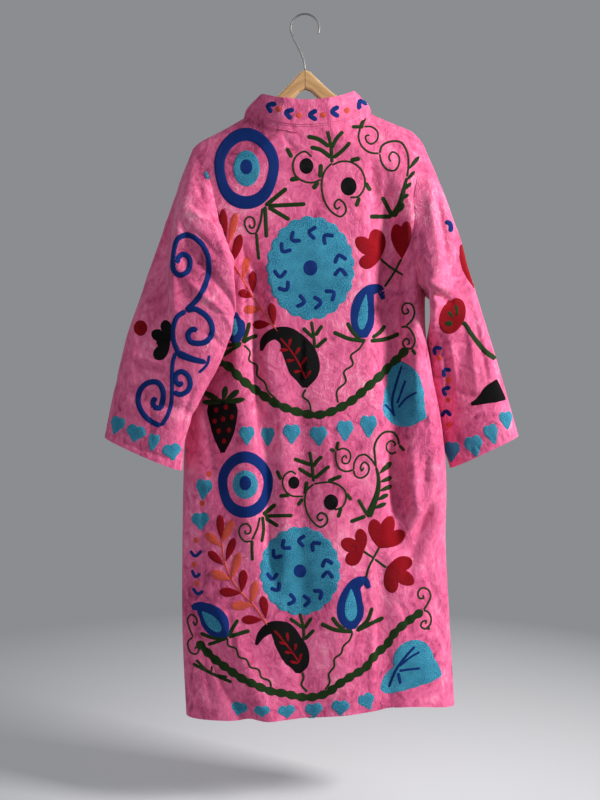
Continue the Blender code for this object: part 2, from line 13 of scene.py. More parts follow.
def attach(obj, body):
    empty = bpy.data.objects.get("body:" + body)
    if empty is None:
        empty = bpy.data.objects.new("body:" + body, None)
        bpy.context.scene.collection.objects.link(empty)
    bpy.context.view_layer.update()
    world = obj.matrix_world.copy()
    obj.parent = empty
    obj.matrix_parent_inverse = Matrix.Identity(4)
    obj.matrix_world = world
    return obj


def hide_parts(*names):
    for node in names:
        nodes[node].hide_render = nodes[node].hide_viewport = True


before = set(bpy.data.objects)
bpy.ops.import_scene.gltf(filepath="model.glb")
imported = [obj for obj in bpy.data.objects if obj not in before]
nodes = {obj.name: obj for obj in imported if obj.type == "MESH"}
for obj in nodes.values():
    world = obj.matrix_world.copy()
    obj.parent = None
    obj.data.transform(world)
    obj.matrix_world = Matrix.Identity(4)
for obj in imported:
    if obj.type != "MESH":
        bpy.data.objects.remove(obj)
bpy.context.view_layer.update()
bpy.ops.object.select_all(action="DESELECT")


# Camera: level and square on to the wall, 1.6 m from the hanger, a little left of its hook.
# A pixel of the 600 by 800 frame is 1.8 mm in the plane of the hanger, which is y = 0.

PIXEL = 0.0018
HOOK_PIXEL = (305.0, 15.0)
EYE_DISTANCE = 1.600
EYE = Vector((-0.009, -EYE_DISTANCE, -0.693))
LENS = 40.0

bpy.ops.object.camera_add(location=EYE, rotation=(math.radians(90), 0.0, 0.0))
camera = bpy.context.object
camera.data.lens = LENS
bpy.context.scene.camera = camera
bpy.context.scene.view_settings.view_transform = "Standard"


# Hook: one length of steel wire, bent round the nail and let into the top of the hanger.
# It is the CAD solid, in drawn steel with faint marks of the die along the wire.


class Signal:
    """A shader socket that takes part in sums and products."""

    def __init__(self, finish, socket):
        self.finish, self.socket = finish, socket

    def math(self, operation, first, second=0.0):
        return self.finish.node("ShaderNodeMath", {"operation": operation}, {0: first, 1: second})

    def __add__(self, other):
        return self.math("ADD", self, other)

    def __sub__(self, other):
        return self.math("SUBTRACT", self, other)

    def __rsub__(self, other):
        return self.math("SUBTRACT", other, self)

    def __mul__(self, other):
        return self.math("MULTIPLY", self, other)

    def __abs__(self):
        return self.math("ABSOLUTE", self)

    def fraction(self):
        return self.math("FRACT", self)


class Finish:
    """A Principled material, built up from nodes."""

    def __init__(self, name, **sockets):
        self.material = bpy.data.materials.new(name)
        self.material.use_nodes = True
        self.tree = self.material.node_tree
        self.shader = self.tree.nodes["Principled BSDF"]
        for socket, value in sockets.items():
            self.shader.inputs[socket.replace("_", " ")].default_value = value

    def node(self, kind, settings, inputs, output=0):
        made = self.tree.nodes.new(kind)
        for name, value in settings.items():
            if name == "stops":
                ramp = made.color_ramp.elements
                while len(ramp) < len(value):
                    ramp.new(0.5)
                for element, (place, colour) in zip(ramp, value):
                    element.position, element.color = place, colour
            else:
                setattr(made, name, value)
        for name, value in inputs.items():
            if isinstance(value, Signal):
                self.tree.links.new(value.socket, made.inputs[name])
            else:
                made.inputs[name].default_value = value
        return Signal(self, made.outputs[output])

    def place(self, scale=(1.0, 1.0, 1.0), turn=(0.0, 0.0, 0.0)):
        """Object coordinates, scaled and turned."""
        where = self.node("ShaderNodeTexCoord", {}, {}, "Object")
        return self.node(
            "ShaderNodeMapping", {}, {"Vector": where, "Scale": scale, "Rotation": turn}
        )

    def noise(self, where, scale, detail=2.0, roughness=0.5, distortion=0.0):
        inputs = {
            "Vector": where,
            "Scale": scale,
            "Detail": detail,
            "Roughness": roughness,
            "Distortion": distortion,
        }
        return self.node("ShaderNodeTexNoise", {}, inputs)

    def blend(self, share, first, second, mode="MIX"):
        settings = {"data_type": "RGBA", "blend_type": mode}
        return self.node("ShaderNodeMix", settings, {0: share, 6: first, 7: second}, 2)

    def ramp(self, share, stops):
        return self.node("ShaderNodeValToRGB", {"stops": stops}, {0: share})

    def range(self, value, low, high, out_low=0.0, out_high=1.0):
        inputs = {0: value, 1: low, 2: high, 3: out_low, 4: out_high}
        return self.node("ShaderNodeMapRange", {}, inputs)

    def bump(self, height, distance, strength=1.0, under=None):
        inputs = {"Height": height, "Distance": distance, "Strength": strength}
        if under is not None:
            inputs["Normal"] = under
        return self.node("ShaderNodeBump", {}, inputs)

    def wire(self, socket, signal):
        self.tree.links.new(signal.socket, self.shader.inputs[socket])


def steel_finish():
    steel = Finish("drawn_steel", Metallic=1.0)
    along = steel.place((900.0, 900.0, 40.0))
    marks = steel.noise(along, scale=1.0, detail=3.0)
    dull = steel.noise(steel.place(), scale=60.0, detail=3.0)
    steel.wire(
        "Base Color", steel.blend(dull, (0.20, 0.19, 0.18, 1.0), (0.38, 0.38, 0.38, 1.0))
    )
    steel.wire("Roughness", steel.range(dull, 0.3, 0.7, 0.32, 0.52))
    steel.wire("Normal", steel.bump(marks, distance=0.0001, strength=0.4))
    return steel.material


nodes["hook"].data.materials.clear()
nodes["hook"].data.materials.append(steel_finish())


# Hanger: two arms of laminated bamboo, mitred at the middle, with a satin lacquer.
# It is the CAD solid. The grain runs down each arm, so it meets in chevrons at the mitre.

GRAIN_ANGLE = 31.0  # degrees that an arm's grain falls away from the middle
GLUE_LINE = 0.0012  # half width of the dark line at the mitre


def bamboo_finish():
    bamboo = Finish("bamboo", Coat_Roughness=0.25, IOR=1.5)
    bamboo.shader.inputs["Coat Weight"].default_value = 0.35
    where = bamboo.node("ShaderNodeTexCoord", {}, {}, "Object")
    parts = [
        bamboo.node("ShaderNodeSeparateXYZ", {}, {0: where}, name) for name in ("X", "Y", "Z")
    ]
    out = abs(parts[0])
    fall = math.radians(GRAIN_ANGLE)
    along = out * math.cos(fall) - parts[2] * math.sin(fall)
    across = out * math.sin(fall) + parts[2] * math.cos(fall)
    straight = bamboo.node(
        "ShaderNodeCombineXYZ", {}, {"X": along * 18.0, "Y": parts[1] * 260.0, "Z": across * 420.0}
    )
    fibres = bamboo.noise(straight, scale=1.0, detail=4.0, roughness=0.6, distortion=0.4)
    laminate = bamboo.noise(
        bamboo.node("ShaderNodeCombineXYZ", {}, {"X": along * 3.0, "Z": across * 60.0}), scale=1.0
    )
    colour = bamboo.ramp(
        bamboo.range(fibres * 0.7 + laminate * 0.5, 0.35, 0.85),
        [
            (0.0, (0.30, 0.15, 0.055, 1.0)),
            (0.45, (0.52, 0.30, 0.125, 1.0)),
            (1.0, (0.70, 0.46, 0.22, 1.0)),
        ],
    )
    mitre = bamboo.range(out, 0.0, GLUE_LINE)
    colour = bamboo.blend(mitre, (0.20, 0.10, 0.04, 1.0), colour)
    bamboo.wire("Base Color", colour)
    bamboo.wire("Roughness", bamboo.range(fibres, 0.3, 0.7, 0.35, 0.5))
    bamboo.wire("Normal", bamboo.bump(fibres * mitre, distance=0.0004, strength=0.5))
    return bamboo.material


nodes["hanger"].data.materials.clear()
nodes["hanger"].data.materials.append(bamboo_finish())


# Back panel: crushed pink velvet on a cotton lining, cut whole from the shoulders to the hem.
# It hangs from the hanger's arms and drops in long folds, with creases from being packed flat.

CLOTH = 0.0025
SMOOTH_ANGLE = math.radians(60)
SHOULDER_Z, UNDERARM_Z, HEM_Z = -0.2, -0.505, -1.24  # levels where a width is looked up
NECK_HALF_WIDTH = 0.114
NECK_DIP_BACK, NECK_DIP_FRONT = 0.046, 0.080
NECK_ROUNDNESS = 0.75
BACK_SHOULDER_CELLS, BACK_NECK_CELLS = 30, 44
BODY_ROWS = 190
SLEEVE_ROUND = 160

HEM = [(-0.215, -1.254), (0.000, -1.243), (0.100, -1.233), (0.180, -1.226), (0.275, -1.237)]

# Line of the shoulders over the hanger's arms
APEX_Z, APEX_ROUNDING = -0.095, 0.012
NECK_DROP, NECK_DROP_LENGTH = 0.055, 0.055
ARM_SLOPE, HANGER_TILT = 0.400, 0.055
TIP_START, TIP_CURVE = 0.184, 20.0

# Body sections, from the top down
BODY_COLUMNS = ("z", "middle_x", "half_width", "back", "front")
BODY = [
    (-0.090, 0.005, 0.235, 0.050, 0.042),
    (-0.250, 0.005, 0.235, 0.053, 0.044),
    (-0.380, 0.006, 0.224, 0.061, 0.047),
    (-0.505, 0.008, 0.207, 0.067, 0.050),
    (-0.640, 0.007, 0.216, 0.070, 0.051),
    (-0.710, 0.013, 0.226, 0.070, 0.052),
    (-0.800, 0.017, 0.234, 0.070, 0.052),
    (-0.950, 0.016, 0.236, 0.068, 0.051),
    (-1.100, 0.020, 0.240, 0.067, 0.050),
    (-1.275, 0.029, 0.241, 0.066, 0.050),
]
SECTION_POWER = 0.75
SHOULDER_ROLL = 0.090
ARMHOLE_STEPS = 140

ARMHOLE_COLUMNS = ("z", "left_back", "right_back", "front")
ARMHOLE = [
    (-0.212, 0.207, 0.207, 0.207),
    (-0.245, 0.206, 0.207, 0.207),
    (-0.300, 0.175, 0.192, 0.197),
    (-0.360, 0.160, 0.186, 0.188),
    (-0.430, 0.138, 0.180, 0.184),
    (-0.456, 0.131, 0.180, 0.188),
    (-0.475, 0.148, 0.183, 0.193),
    (-0.490, 0.178, 0.191, 0.199),
    (-0.501, 0.198, 0.202, 0.206),
]

# Large folds: across and down the cloth at the top and the foot, half width and height
BODY_FOLDS = [
    (-0.094, -0.470, -0.072, -1.010, 0.014, -0.013),
    (-0.128, -0.560, -0.112, -0.960, 0.020, 0.007),
    (-0.190, -0.640, -0.168, -0.850, 0.016, -0.010),
    (-0.212, -1.040, -0.110, -1.290, 0.018, -0.012),
    (-0.165, -1.060, -0.070, -1.290, 0.020, 0.007),
    (0.128, -0.300, 0.152, -0.960, 0.022, -0.020),
    (0.205, -0.600, 0.215, -0.900, 0.024, 0.010),
    (0.225, -0.840, 0.165, -0.990, 0.014, -0.012),
    (0.030, -0.700, 0.045, -1.290, 0.030, 0.006),
    (0.115, -0.950, 0.120, -1.290, 0.016, -0.007),
    (-0.020, -0.620, -0.030, -1.290, 0.018, -0.005),
    (0.345, -0.420, 0.335, -1.290, 0.024, -0.012),
    (0.400, -0.600, 0.420, -1.290, 0.026, 0.008),
    (-0.340, -0.430, -0.350, -1.290, 0.024, -0.011),
    (-0.410, -0.640, -0.425, -1.290, 0.026, 0.007),
]
FOLD_END = 0.080


def column(table, columns, name):
    return np.array([row[columns.index(name)] for row in table])


def unit(vectors):
    return vectors / np.maximum(np.linalg.norm(vectors, axis=-1, keepdims=True), 1e-12)


def ease(t):
    t = np.clip(t, 0.0, 1.0)
    return t * t * (3 - 2 * t)


def smooth_curve(at, xs, ys):
    """A smooth curve through the points (xs, ys), which may run either way."""
    if xs[0] > xs[-1]:
        xs, ys = xs[::-1], ys[::-1]
    slopes = np.gradient(ys, xs, axis=0)
    at = np.clip(at, xs[0], xs[-1])
    i = np.clip(np.searchsorted(xs, at) - 1, 0, len(xs) - 2)
    span = xs[i + 1] - xs[i]
    t = (at - xs[i]) / span
    if ys.ndim > 1:
        shape = np.shape(at) + (1,) * (ys.ndim - 1)
        t, span = np.reshape(t, shape), np.reshape(span, shape)
    return (
        (2 * t**3 - 3 * t**2 + 1) * ys[i]
        + (t**3 - 2 * t**2 + t) * span * slopes[i]
        + (3 * t**2 - 2 * t**3) * ys[i + 1]
        + (t**3 - t**2) * span * slopes[i + 1]
    )


def shoulder_z(x):
    """Height of the cloth where it lies over the hanger's arms."""
    out = np.sqrt(x * x + APEX_ROUNDING**2) - APEX_ROUNDING
    fall = NECK_DROP * (1 - np.exp(-out / NECK_DROP_LENGTH)) + ARM_SLOPE * out
    tip = TIP_CURVE * np.maximum(np.abs(x) - TIP_START, 0) ** 2
    return APEX_Z - fall - tip + HANGER_TILT * x


def hem_z(x):
    table = np.array(HEM)
    return smooth_curve(x, table[:, 0], table[:, 1])


class Body:
    """The outer face of the jacket's body.

    A point is given by its share round the section and its level. The share is
    0 at the centre back, 1 at the right side seam, 2 at the centre front, and
    negative on the left.
    """

    LEVELS = np.linspace(-0.090, -1.275, 475)
    SHARES = np.linspace(-2.0, 2.0, 1601)
    SEAMS = (0, 120, 240, 360, 480)
    SEARCH = 401  # places tried between a seam and the middle

    def __init__(self):
        z = self.LEVELS[:, None]
        angle = np.linspace(-math.pi, math.pi, self.SEAMS[-1] + 1)[None, :]
        middle, half, back, front = (
            smooth_curve(z, column(BODY, BODY_COLUMNS, "z"), column(BODY, BODY_COLUMNS, name))
            for name in BODY_COLUMNS[1:]
        )
        c, s = np.cos(angle), np.sin(angle)
        x = middle + half * np.sign(s) * np.abs(s) ** SECTION_POWER
        y = -np.where(c > 0, back, front) * np.sign(c) * np.abs(c) ** SECTION_POWER
        dx, dy = np.gradient(x, axis=1), np.gradient(y, axis=1)
        size = np.hypot(dx, dy)
        height = self.folds(self.around(x, y), z)
        x = x + height * dy / size
        y = (y - height * dx / size) * self.roll(x, z)
        around = self.around(x, y)
        self.x = np.empty((len(self.LEVELS), len(self.SHARES)))
        self.y = np.empty_like(self.x)
        for i, row in enumerate(around):
            at = np.interp(self.SHARES, (-2, -1, 0, 1, 2), row[list(self.SEAMS)])
            self.x[i] = np.interp(at, row, x[i])
            self.y[i] = np.interp(at, row, y[i])

    def around(self, x, y):
        steps = np.hypot(np.diff(x, axis=1), np.diff(y, axis=1))
        run = np.concatenate([np.zeros((len(x), 1)), np.cumsum(steps, axis=1)], axis=1)
        return run - run[:, self.SEAMS[2]][:, None]

    @staticmethod
    def folds(at, z):
        height = np.zeros(np.broadcast(at, z).shape)
        for top_at, top_z, low_at, low_z, half_width, tall in BODY_FOLDS:
            line = top_at + (low_at - top_at) * (z - top_z) / (low_z - top_z)
            fade = ease((top_z - z) / FOLD_END + 0.5) * ease((z - low_z) / FOLD_END + 0.5)
            height += tall * fade * np.exp(-(((at - line) / half_width) ** 2))
        return height

    @staticmethod
    def roll(x, z):
        """0 on the shoulder line, and 1 where the cloth hangs free of the arms."""
        return np.sqrt(np.clip((shoulder_z(x) - z) / SHOULDER_ROLL, 0.0, 1.0))

    def point(self, share, z):
        share, z = np.broadcast_arrays(np.asarray(share, float), np.asarray(z, float))
        row = (self.LEVELS[0] - z) / (self.LEVELS[0] - self.LEVELS[1])
        col = (share - self.SHARES[0]) / (self.SHARES[1] - self.SHARES[0])
        row = np.clip(row, 0, len(self.LEVELS) - 1.001)
        col = np.clip(col, 0, len(self.SHARES) - 1.001)
        i, j = row.astype(int), col.astype(int)
        a, b = row - i, col - j
        x, y = (
            (1 - a) * ((1 - b) * v[i, j] + b * v[i, j + 1])
            + a * ((1 - b) * v[i + 1, j] + b * v[i + 1, j + 1])
            for v in (self.x, self.y)
        )
        return np.stack([x, y, z], axis=-1)

    def middle(self, z):
        return smooth_curve(
            z, column(BODY, BODY_COLUMNS, "z"), column(BODY, BODY_COLUMNS, "middle_x")
        )

    def share_at(self, distance, z, side, front):
        """The share where the back, or a front, is a distance from the middle."""
        shares = np.linspace(2 if front else 0, 1, self.SEARCH)
        out = side * (self.point(side * shares, z)[:, 0] - self.middle(z))
        return side * np.interp(distance, np.maximum.accumulate(out), shares)


BODY_FORM = Body()


def armhole_table():
    """Share of each armhole seam against its level, worked out once."""
    levels = np.linspace(ARMHOLE[0][0], UNDERARM_Z, ARMHOLE_STEPS)
    table = {}
    for side, front, name in (
        (-1, False, "left_back"),
        (1, False, "right_back"),
        (-1, True, "front"),
        (1, True, "front"),
    ):
        known = column(ARMHOLE, ARMHOLE_COLUMNS, "z")
        out = smooth_curve(levels, known, column(ARMHOLE, ARMHOLE_COLUMNS, name))
        share = [BODY_FORM.share_at(d, z, side, front) for d, z in zip(out, levels)]
        share[-1] = side
        table[side, front] = levels[::-1], np.array(share)[::-1]
    return table


ARMHOLES = armhole_table()


def armhole_share(z, side, front=False):
    """Share of the armhole seam at a level, and of the side seam below the underarm."""
    return np.interp(z, *ARMHOLES[side, front])


def top_level(x):
    """Level of the shoulder seam at a distance x from the middle."""
    return shoulder_z(BODY_FORM.middle(SHOULDER_Z) + x)


def armhole_levels(side):
    """Levels of the sleeve's points down one half of its armhole."""
    tip = top_level(side * ARMHOLE[0][1])
    down = np.arange(SLEEVE_ROUND // 2 + 1) * 2 / SLEEVE_ROUND
    return tip + (UNDERARM_Z - tip) * (1 - np.cos(math.pi * down)) / 2


def neck_level(x, dip):
    """Level of the neck seam: round, with its lowest point at the middle."""
    low = (top_level(-NECK_HALF_WIDTH) + top_level(NECK_HALF_WIDTH)) / 2 - dip
    corner = np.where(x < 0, top_level(-NECK_HALF_WIDTH), top_level(NECK_HALF_WIDTH))
    across = np.clip(np.abs(x) / NECK_HALF_WIDTH, 0, 1)
    return low + (corner - low) * (1 - (1 - across**2) ** NECK_ROUNDNESS)


def panel_grid(facing, across, first, last, dip):
    """Points of a body panel, in rows from its top edge down.

    Its columns start at the given distances from the middle, and each edge is a
    function that gives its share of the section at a level.
    """
    at_seam = np.abs(across) > NECK_HALF_WIDTH - 1e-9
    top = np.where(at_seam, top_level(across), neck_level(across, dip))
    shares = np.array(
        [BODY_FORM.share_at(abs(x), z, 1 if x > 0 else -1, facing > 0) for x, z in zip(across, top)]
    )
    share = (shares - shares[0]) / (shares[-1] - shares[0])
    rows = []
    for end, edge, x in ((shares[0], first, across[0]), (shares[-1], last, across[-1])):
        levels = armhole_levels(1 if x > 0 else -1)
        levels = np.concatenate([levels, np.full(BODY_ROWS, UNDERARM_Z)])
        rows.append((levels, np.array([end] + [edge(z) for z in levels[1:]])))
    levels, across_share = (a[:, None] + (b - a)[:, None] * share for a, b in zip(*rows))
    # Above the underarm, rows turn from the line of the shoulder to a level line
    fade = (levels - UNDERARM_Z) / (levels[0] - UNDERARM_Z)
    levels = levels + fade * (top - levels[0])
    down = np.linspace(0, 1, BODY_ROWS + 1)[1:, None]
    hem = hem_z(BODY_FORM.point(across_share[-1], HEM_Z)[:, 0])
    levels[-BODY_ROWS:] = UNDERARM_Z + down * (hem - UNDERARM_Z)
    grid = BODY_FORM.point(across_share, levels)
    grid[0, at_seam, 1] = 0.0
    return grid


def grid_normals(grid, closed=False):
    """Outward directions of a grid whose rows run down and columns run to the right."""
    if closed:
        around = np.roll(grid, -1, axis=1) - np.roll(grid, 1, axis=1)
    else:
        around = np.gradient(grid, axis=1)
    return unit(np.cross(np.gradient(grid, axis=0), around))


def to_pixels(points, side):
    """Where points fall in the photograph's frame, from the camera or from opposite it."""
    depth = EYE_DISTANCE - side * points[..., 1]
    share = EYE_DISTANCE / depth
    x = EYE.x + (points[..., 0] - EYE.x) * share
    z = EYE.z + (points[..., 2] - EYE.z) * share
    return np.stack([HOOK_PIXEL[0] + x / PIXEL, HOOK_PIXEL[1] - z / PIXEL], axis=-1)


def line_through(points, step=1.5):
    """A smooth line in pixels through a few points, and the run to each of its points."""
    points = np.array(points, float)
    chords = np.concatenate([[0.0], np.cumsum(np.linalg.norm(np.diff(points, axis=0), axis=1))])
    if len(points) == 2:
        fine = points
        run = chords
    else:
        fine = smooth_curve(np.linspace(0, chords[-1], 40 * len(points)), chords, points)
        steps = np.linalg.norm(np.diff(fine, axis=0), axis=1)
        run = np.concatenate([[0.0], np.cumsum(steps)])
    count = max(3, int(math.ceil(run[-1] / step)) + 1)
    at = np.linspace(0, run[-1], count)
    return np.stack([np.interp(at, run, fine[:, k]) for k in (0, 1)], axis=1), at


CREASE_STEP = 3.0  # pixels between the points of a crease
CREASE_REACH = 4  # half widths beyond which a crease is nothing
CREASE_END = 0.3  # share of its length over which a crease fades in
TURNED_AWAY = 0.35  # creases fade where the cloth turns away from the viewer by more than this


def crease(grid, closed, side, creases):
    """Presses troughs and ridges into a grid, along lines drawn in pixels.

    Each crease is its half width in pixels, its height in metres and its line.
    """
    normals = grid_normals(grid, closed)
    seen = ease((side * normals[..., 1]) / TURNED_AWAY)
    pixels = to_pixels(grid, side)
    height = np.zeros(grid.shape[:2])
    for half_width, tall, points in creases:
        line, run = line_through(points, CREASE_STEP)
        reach = CREASE_REACH * half_width
        low, high = line.min(0) - reach, line.max(0) + reach
        near = np.all((pixels > low) & (pixels < high), axis=-1)
        apart = np.linalg.norm(pixels[near][:, None, :] - line[None], axis=-1)
        nearest = apart.argmin(axis=1)
        ends = np.minimum(run, run[-1] - run) / (CREASE_END * run[-1])
        height[near] += (
            tall * ease(ends)[nearest] * np.exp(-((apart.min(axis=1) / half_width) ** 2))
        )
    return grid + (height * seen)[..., None] * normals


class Cloth:
    """One cut piece of velvet: its mesh, and the surface that stitches are laid on."""

    def __init__(self, name, grid, closed=False):
        self.name, self.closed = name, closed
        if closed:
            grid = np.concatenate([grid, grid[:, :1]], axis=1)
        self.grid = grid
        rows, cols = grid.shape[:2]
        index = np.arange(rows * cols).reshape(rows, cols)
        quads = np.stack([index[:-1, :-1], index[1:, :-1], index[1:, 1:], index[:-1, 1:]], axis=-1)
        points = grid.reshape(-1, 3)
        self.tree = BVHTree.FromPolygons(points.tolist(), quads.reshape(-1, 4).tolist())

    def make(self, material):
        grid = self.grid[::-1]
        rows, cols = grid.shape[:2]
        bpy.ops.mesh.primitive_grid_add(x_subdivisions=cols - 1, y_subdivisions=rows - 1, size=1)
        made = bpy.context.object
        made.name = made.data.name = self.name
        made.data.vertices.foreach_set("co", grid.reshape(-1))
        made.data.update()
        if self.closed:
            bpy.ops.object.mode_set(mode="EDIT")
            bpy.ops.mesh.select_all(action="SELECT")
            bpy.ops.mesh.remove_doubles(threshold=1e-6)
            bpy.ops.object.mode_set(mode="OBJECT")
        made.data.materials.append(material)
        wall = made.modifiers.new("wall", "SOLIDIFY")
        wall.thickness, wall.offset = CLOTH, -1.0
        bpy.ops.object.modifier_apply(modifier=wall.name)
        bpy.ops.object.shade_smooth_by_angle(angle=SMOOTH_ANGLE)
        made.select_set(False)
        return made

    def land(self, pixels, side):
        """Points and outward directions where lines of sight through pixels meet the cloth.

        The last result is False where the line misses, and the nearest edge is given.
        """
        eye = Vector((EYE.x, side * EYE_DISTANCE, EYE.z))
        found, out, met = [], [], []
        for px, py in pixels:
            mark = Vector(((px - HOOK_PIXEL[0]) * PIXEL, 0.0, (HOOK_PIXEL[1] - py) * PIXEL))
            place, normal, _, _ = self.tree.ray_cast(eye, mark - eye)
            met.append(place is not None)
            if place is None:
                place, normal, _, _ = self.tree.find_nearest(mark)
            if normal.dot(place - eye) > 0:
                normal = -normal
            found.append(place)
            out.append(normal)
        return np.array(found), np.array(out), np.array(met)


PILE_STRETCH = (1.0, 1.0, 0.7)  # the crush of the pile is a little longer down the cloth


def velvet_finish():
    velvet = Finish("crushed_velvet", Sheen_Weight=0.30, Sheen_Roughness=0.35, IOR=1.4)
    velvet.shader.inputs["Sheen Tint"].default_value = (1.0, 0.72, 0.84, 1.0)
    velvet.shader.inputs["Specular IOR Level"].default_value = 0.22
    hang = velvet.place(PILE_STRETCH)
    # Base colour: a mottle that is partly the crushed cloth's own uneven tone and partly painted
    # sheen, with lighter patches and thin bright lines standing in for light caught by the crushed
    # pile.
    clouds = velvet.noise(hang, scale=13.0, detail=3.0, roughness=0.55, distortion=0.8)
    crush = velvet.noise(hang, scale=44.0, detail=4.0, roughness=0.60, distortion=1.8)
    turned = velvet.place(PILE_STRETCH, (0.0, 0.4, 0.0))
    web = velvet.noise(turned, scale=38.0, detail=3.0, roughness=0.55, distortion=1.8)
    # Thin bright lines of painted sheen, kept to patches of the cloth by the mask below.
    sheen_lines = velvet.range(abs(web - 0.5), 0.0, 0.035, 1.0, 0.0)
    patches = velvet.range(velvet.noise(velvet.place(), scale=9.0), 0.42, 0.60)
    marks = sheen_lines * patches
    pile = velvet.noise(velvet.place(), scale=1400.0, roughness=0.6)
    fine = velvet.place((1.0, 1.0, 0.6))
    fine = velvet.noise(fine, scale=120.0, detail=3.0, roughness=0.6, distortion=1.2)
    # The mottle and the lines of painted sheen are mixed into one value for the colour ramp; its
    # lighter stops are painted sheen.
    lay = clouds * 0.36 + crush * 0.42 + fine * 0.18 + marks * 0.07 + pile * 0.04
    colour = velvet.ramp(
        velvet.range(lay, 0.35, 0.71),
        [
            (0.0, (0.250, 0.030, 0.090, 1.0)),
            (0.26, (0.600, 0.085, 0.215, 1.0)),
            (0.58, (0.820, 0.160, 0.330, 1.0)),
            (1.0, (0.930, 0.410, 0.540, 1.0)),
        ],
    )
    velvet.wire("Base Color", colour)
    velvet.wire("Roughness", velvet.range(crush, 0.3, 0.7, 0.62, 0.9))
    soft = velvet.bump(crush + marks * 0.25, distance=0.0045, strength=0.5)
    velvet.wire("Normal", velvet.bump(pile, distance=0.0008, strength=0.5, under=soft))
    return velvet.material


VELVET = velvet_finish()
BACK, FRONT = -1, 1  # the side that a piece is seen from

# Creases: half width in pixels, height in metres, and the line in pixels
BACK_CREASES = [
    (3.4, -0.0065, [(256, 300), (257, 360), (259, 420), (262, 462)]),
    (4.0, 0.0035, [(266, 320), (267, 400), (272, 450)]),
    (3.0, -0.0050, [(274, 395), (273, 430), (278, 462)]),
    (3.2, -0.0040, [(243, 238), (246, 300), (244, 345)]),
    (2.2, -0.0030, [(365, 558), (365, 609)]),
    (2.2, -0.0034, [(378.7, 600), (378, 650), (377, 703)]),
    (3.0, 0.0018, [(371, 600), (372, 650), (370, 703)]),
    (10.0, -0.0190, [(389, 180), (391, 250), (395, 330), (398, 400), (400, 440)]),
    (7.0, 0.0120, [(410, 170), (412, 240), (413, 300), (416, 370), (419, 440)]),
    (7.5, -0.0130, [(394, 425), (396, 465), (400, 505), (404, 528)]),
    (5.0, 0.0080, [(412, 445), (414, 480), (418, 520)]),
    (3.6, -0.0050, [(372, 150), (374, 200), (372, 250)]),
    (3.6, 0.0034, [(381, 160), (381, 210), (377, 250)]),
    (3.4, -0.0060, [(435, 498), (424, 520), (407, 543)]),
    (3.2, -0.0050, [(427, 451), (426, 472), (425, 492)]),
    (4.4, -0.0070, [(186, 588), (205, 640), (228, 690), (240, 714)]),
    (4.6, 0.0045, [(200, 600), (222, 650), (246, 705)]),
    (3.2, -0.0045, [(200, 640), (208, 680), (213, 712)]),
    (3.4, -0.0045, [(425, 560), (437, 600), (455, 640)]),
    (3.2, -0.0035, [(430, 600), (440, 630), (452, 660)]),
    (4.0, -0.0050, [(216, 300), (226, 340), (232, 380)]),
    (3.2, -0.0045, [(240, 240), (250, 262), (268, 290)]),
    (3.0, 0.0026, [(246, 262), (258, 284), (270, 300)]),
    (3.0, -0.0034, [(300, 322), (302, 350), (300, 390)]),
    (3.2, -0.0034, [(330, 410), (334, 450), (330, 500)]),
    (3.4, -0.0040, [(196, 470), (204, 520), (200, 560)]),
    (3.4, -0.0040, [(226, 600), (232, 640), (240, 680)]),
    (3.0, -0.0028, [(286, 590), (290, 640), (286, 690)]),
    (2.6, -0.0026, [(282, 130), (290, 145), (300, 152)]),
    (2.6, -0.0026, [(340, 145), (330, 152), (318, 154)]),
    (2.4, -0.0024, [(392, 596), (404, 612), (410, 640)]),
    (2.4, -0.0024, [(373, 630), (366, 640), (362, 650)]),
]


def back_columns():
    shoulder = np.linspace(-ARMHOLE[0][2], -NECK_HALF_WIDTH, BACK_SHOULDER_CELLS + 1)
    angles = np.linspace(0, math.pi / 2, BACK_NECK_CELLS + 1)[1:-1]
    half = np.concatenate([shoulder, -NECK_HALF_WIDTH * np.cos(angles)])
    return np.concatenate([half, [0.0], -half[::-1]])


back_grid = panel_grid(
    BACK,
    back_columns(),
    lambda z: armhole_share(z, -1),
    lambda z: armhole_share(z, 1),
    NECK_DIP_BACK,
)
back_grid = crease(back_grid, False, BACK, BACK_CREASES)
back_neck = back_grid[0, BACK_SHOULDER_CELLS:-BACK_SHOULDER_CELLS]
back = Cloth("velvet_back", back_grid)
piece = back.make(VELVET)
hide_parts("back_panel")
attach(piece, "root")


# Front panels: the same velvet, left and right, hanging edge to edge with no fastening shown.
# They face the wall, so their folds follow those of the back.

FRONT_GAP = 0.006
HALF_FRONT = 0.266
FRONT_SHOULDER_CELLS, FRONT_NECK_CELLS = 26, 44

FRONT_CREASES = [
    (5.0, -0.0035, [(236, 250), (246, 330), (244, 420)]),
    (4.0, -0.0025, [(262, 420), (258, 520), (266, 640)]),
    (4.0, -0.0030, [(216, 560), (226, 640), (222, 705)]),
    (5.0, 0.0025, [(282, 300), (284, 420), (280, 560)]),
    (5.0, -0.0035, [(388, 240), (380, 330), (384, 440)]),
    (4.0, -0.0025, [(352, 440), (358, 540), (352, 660)]),
    (4.0, -0.0030, [(412, 540), (404, 620), (410, 700)]),
    (4.0, -0.0025, [(220, 280), (250, 300), (270, 330)]),
    (4.0, -0.0025, [(414, 285), (384, 305), (366, 335)]),
    (5.0, 0.0025, [(330, 300), (328, 420), (332, 560)]),
]


def front_grid(side):
    shoulder = np.linspace(ARMHOLE[0][3], NECK_HALF_WIDTH, FRONT_SHOULDER_CELLS + 1)
    angles = np.linspace(0, math.pi / 2, FRONT_NECK_CELLS + 1)[1:]
    neck = np.maximum(NECK_HALF_WIDTH * np.cos(angles), FRONT_GAP / 2)
    across = side * np.concatenate([shoulder, neck])

    def armhole(z):
        return armhole_share(z, side, True)

    def opening(z):
        return side * (2 - FRONT_GAP / 2 / HALF_FRONT)

    if side > 0:
        return panel_grid(FRONT, across, armhole, opening, NECK_DIP_FRONT)
    return panel_grid(FRONT, across[::-1], opening, armhole, NECK_DIP_FRONT)


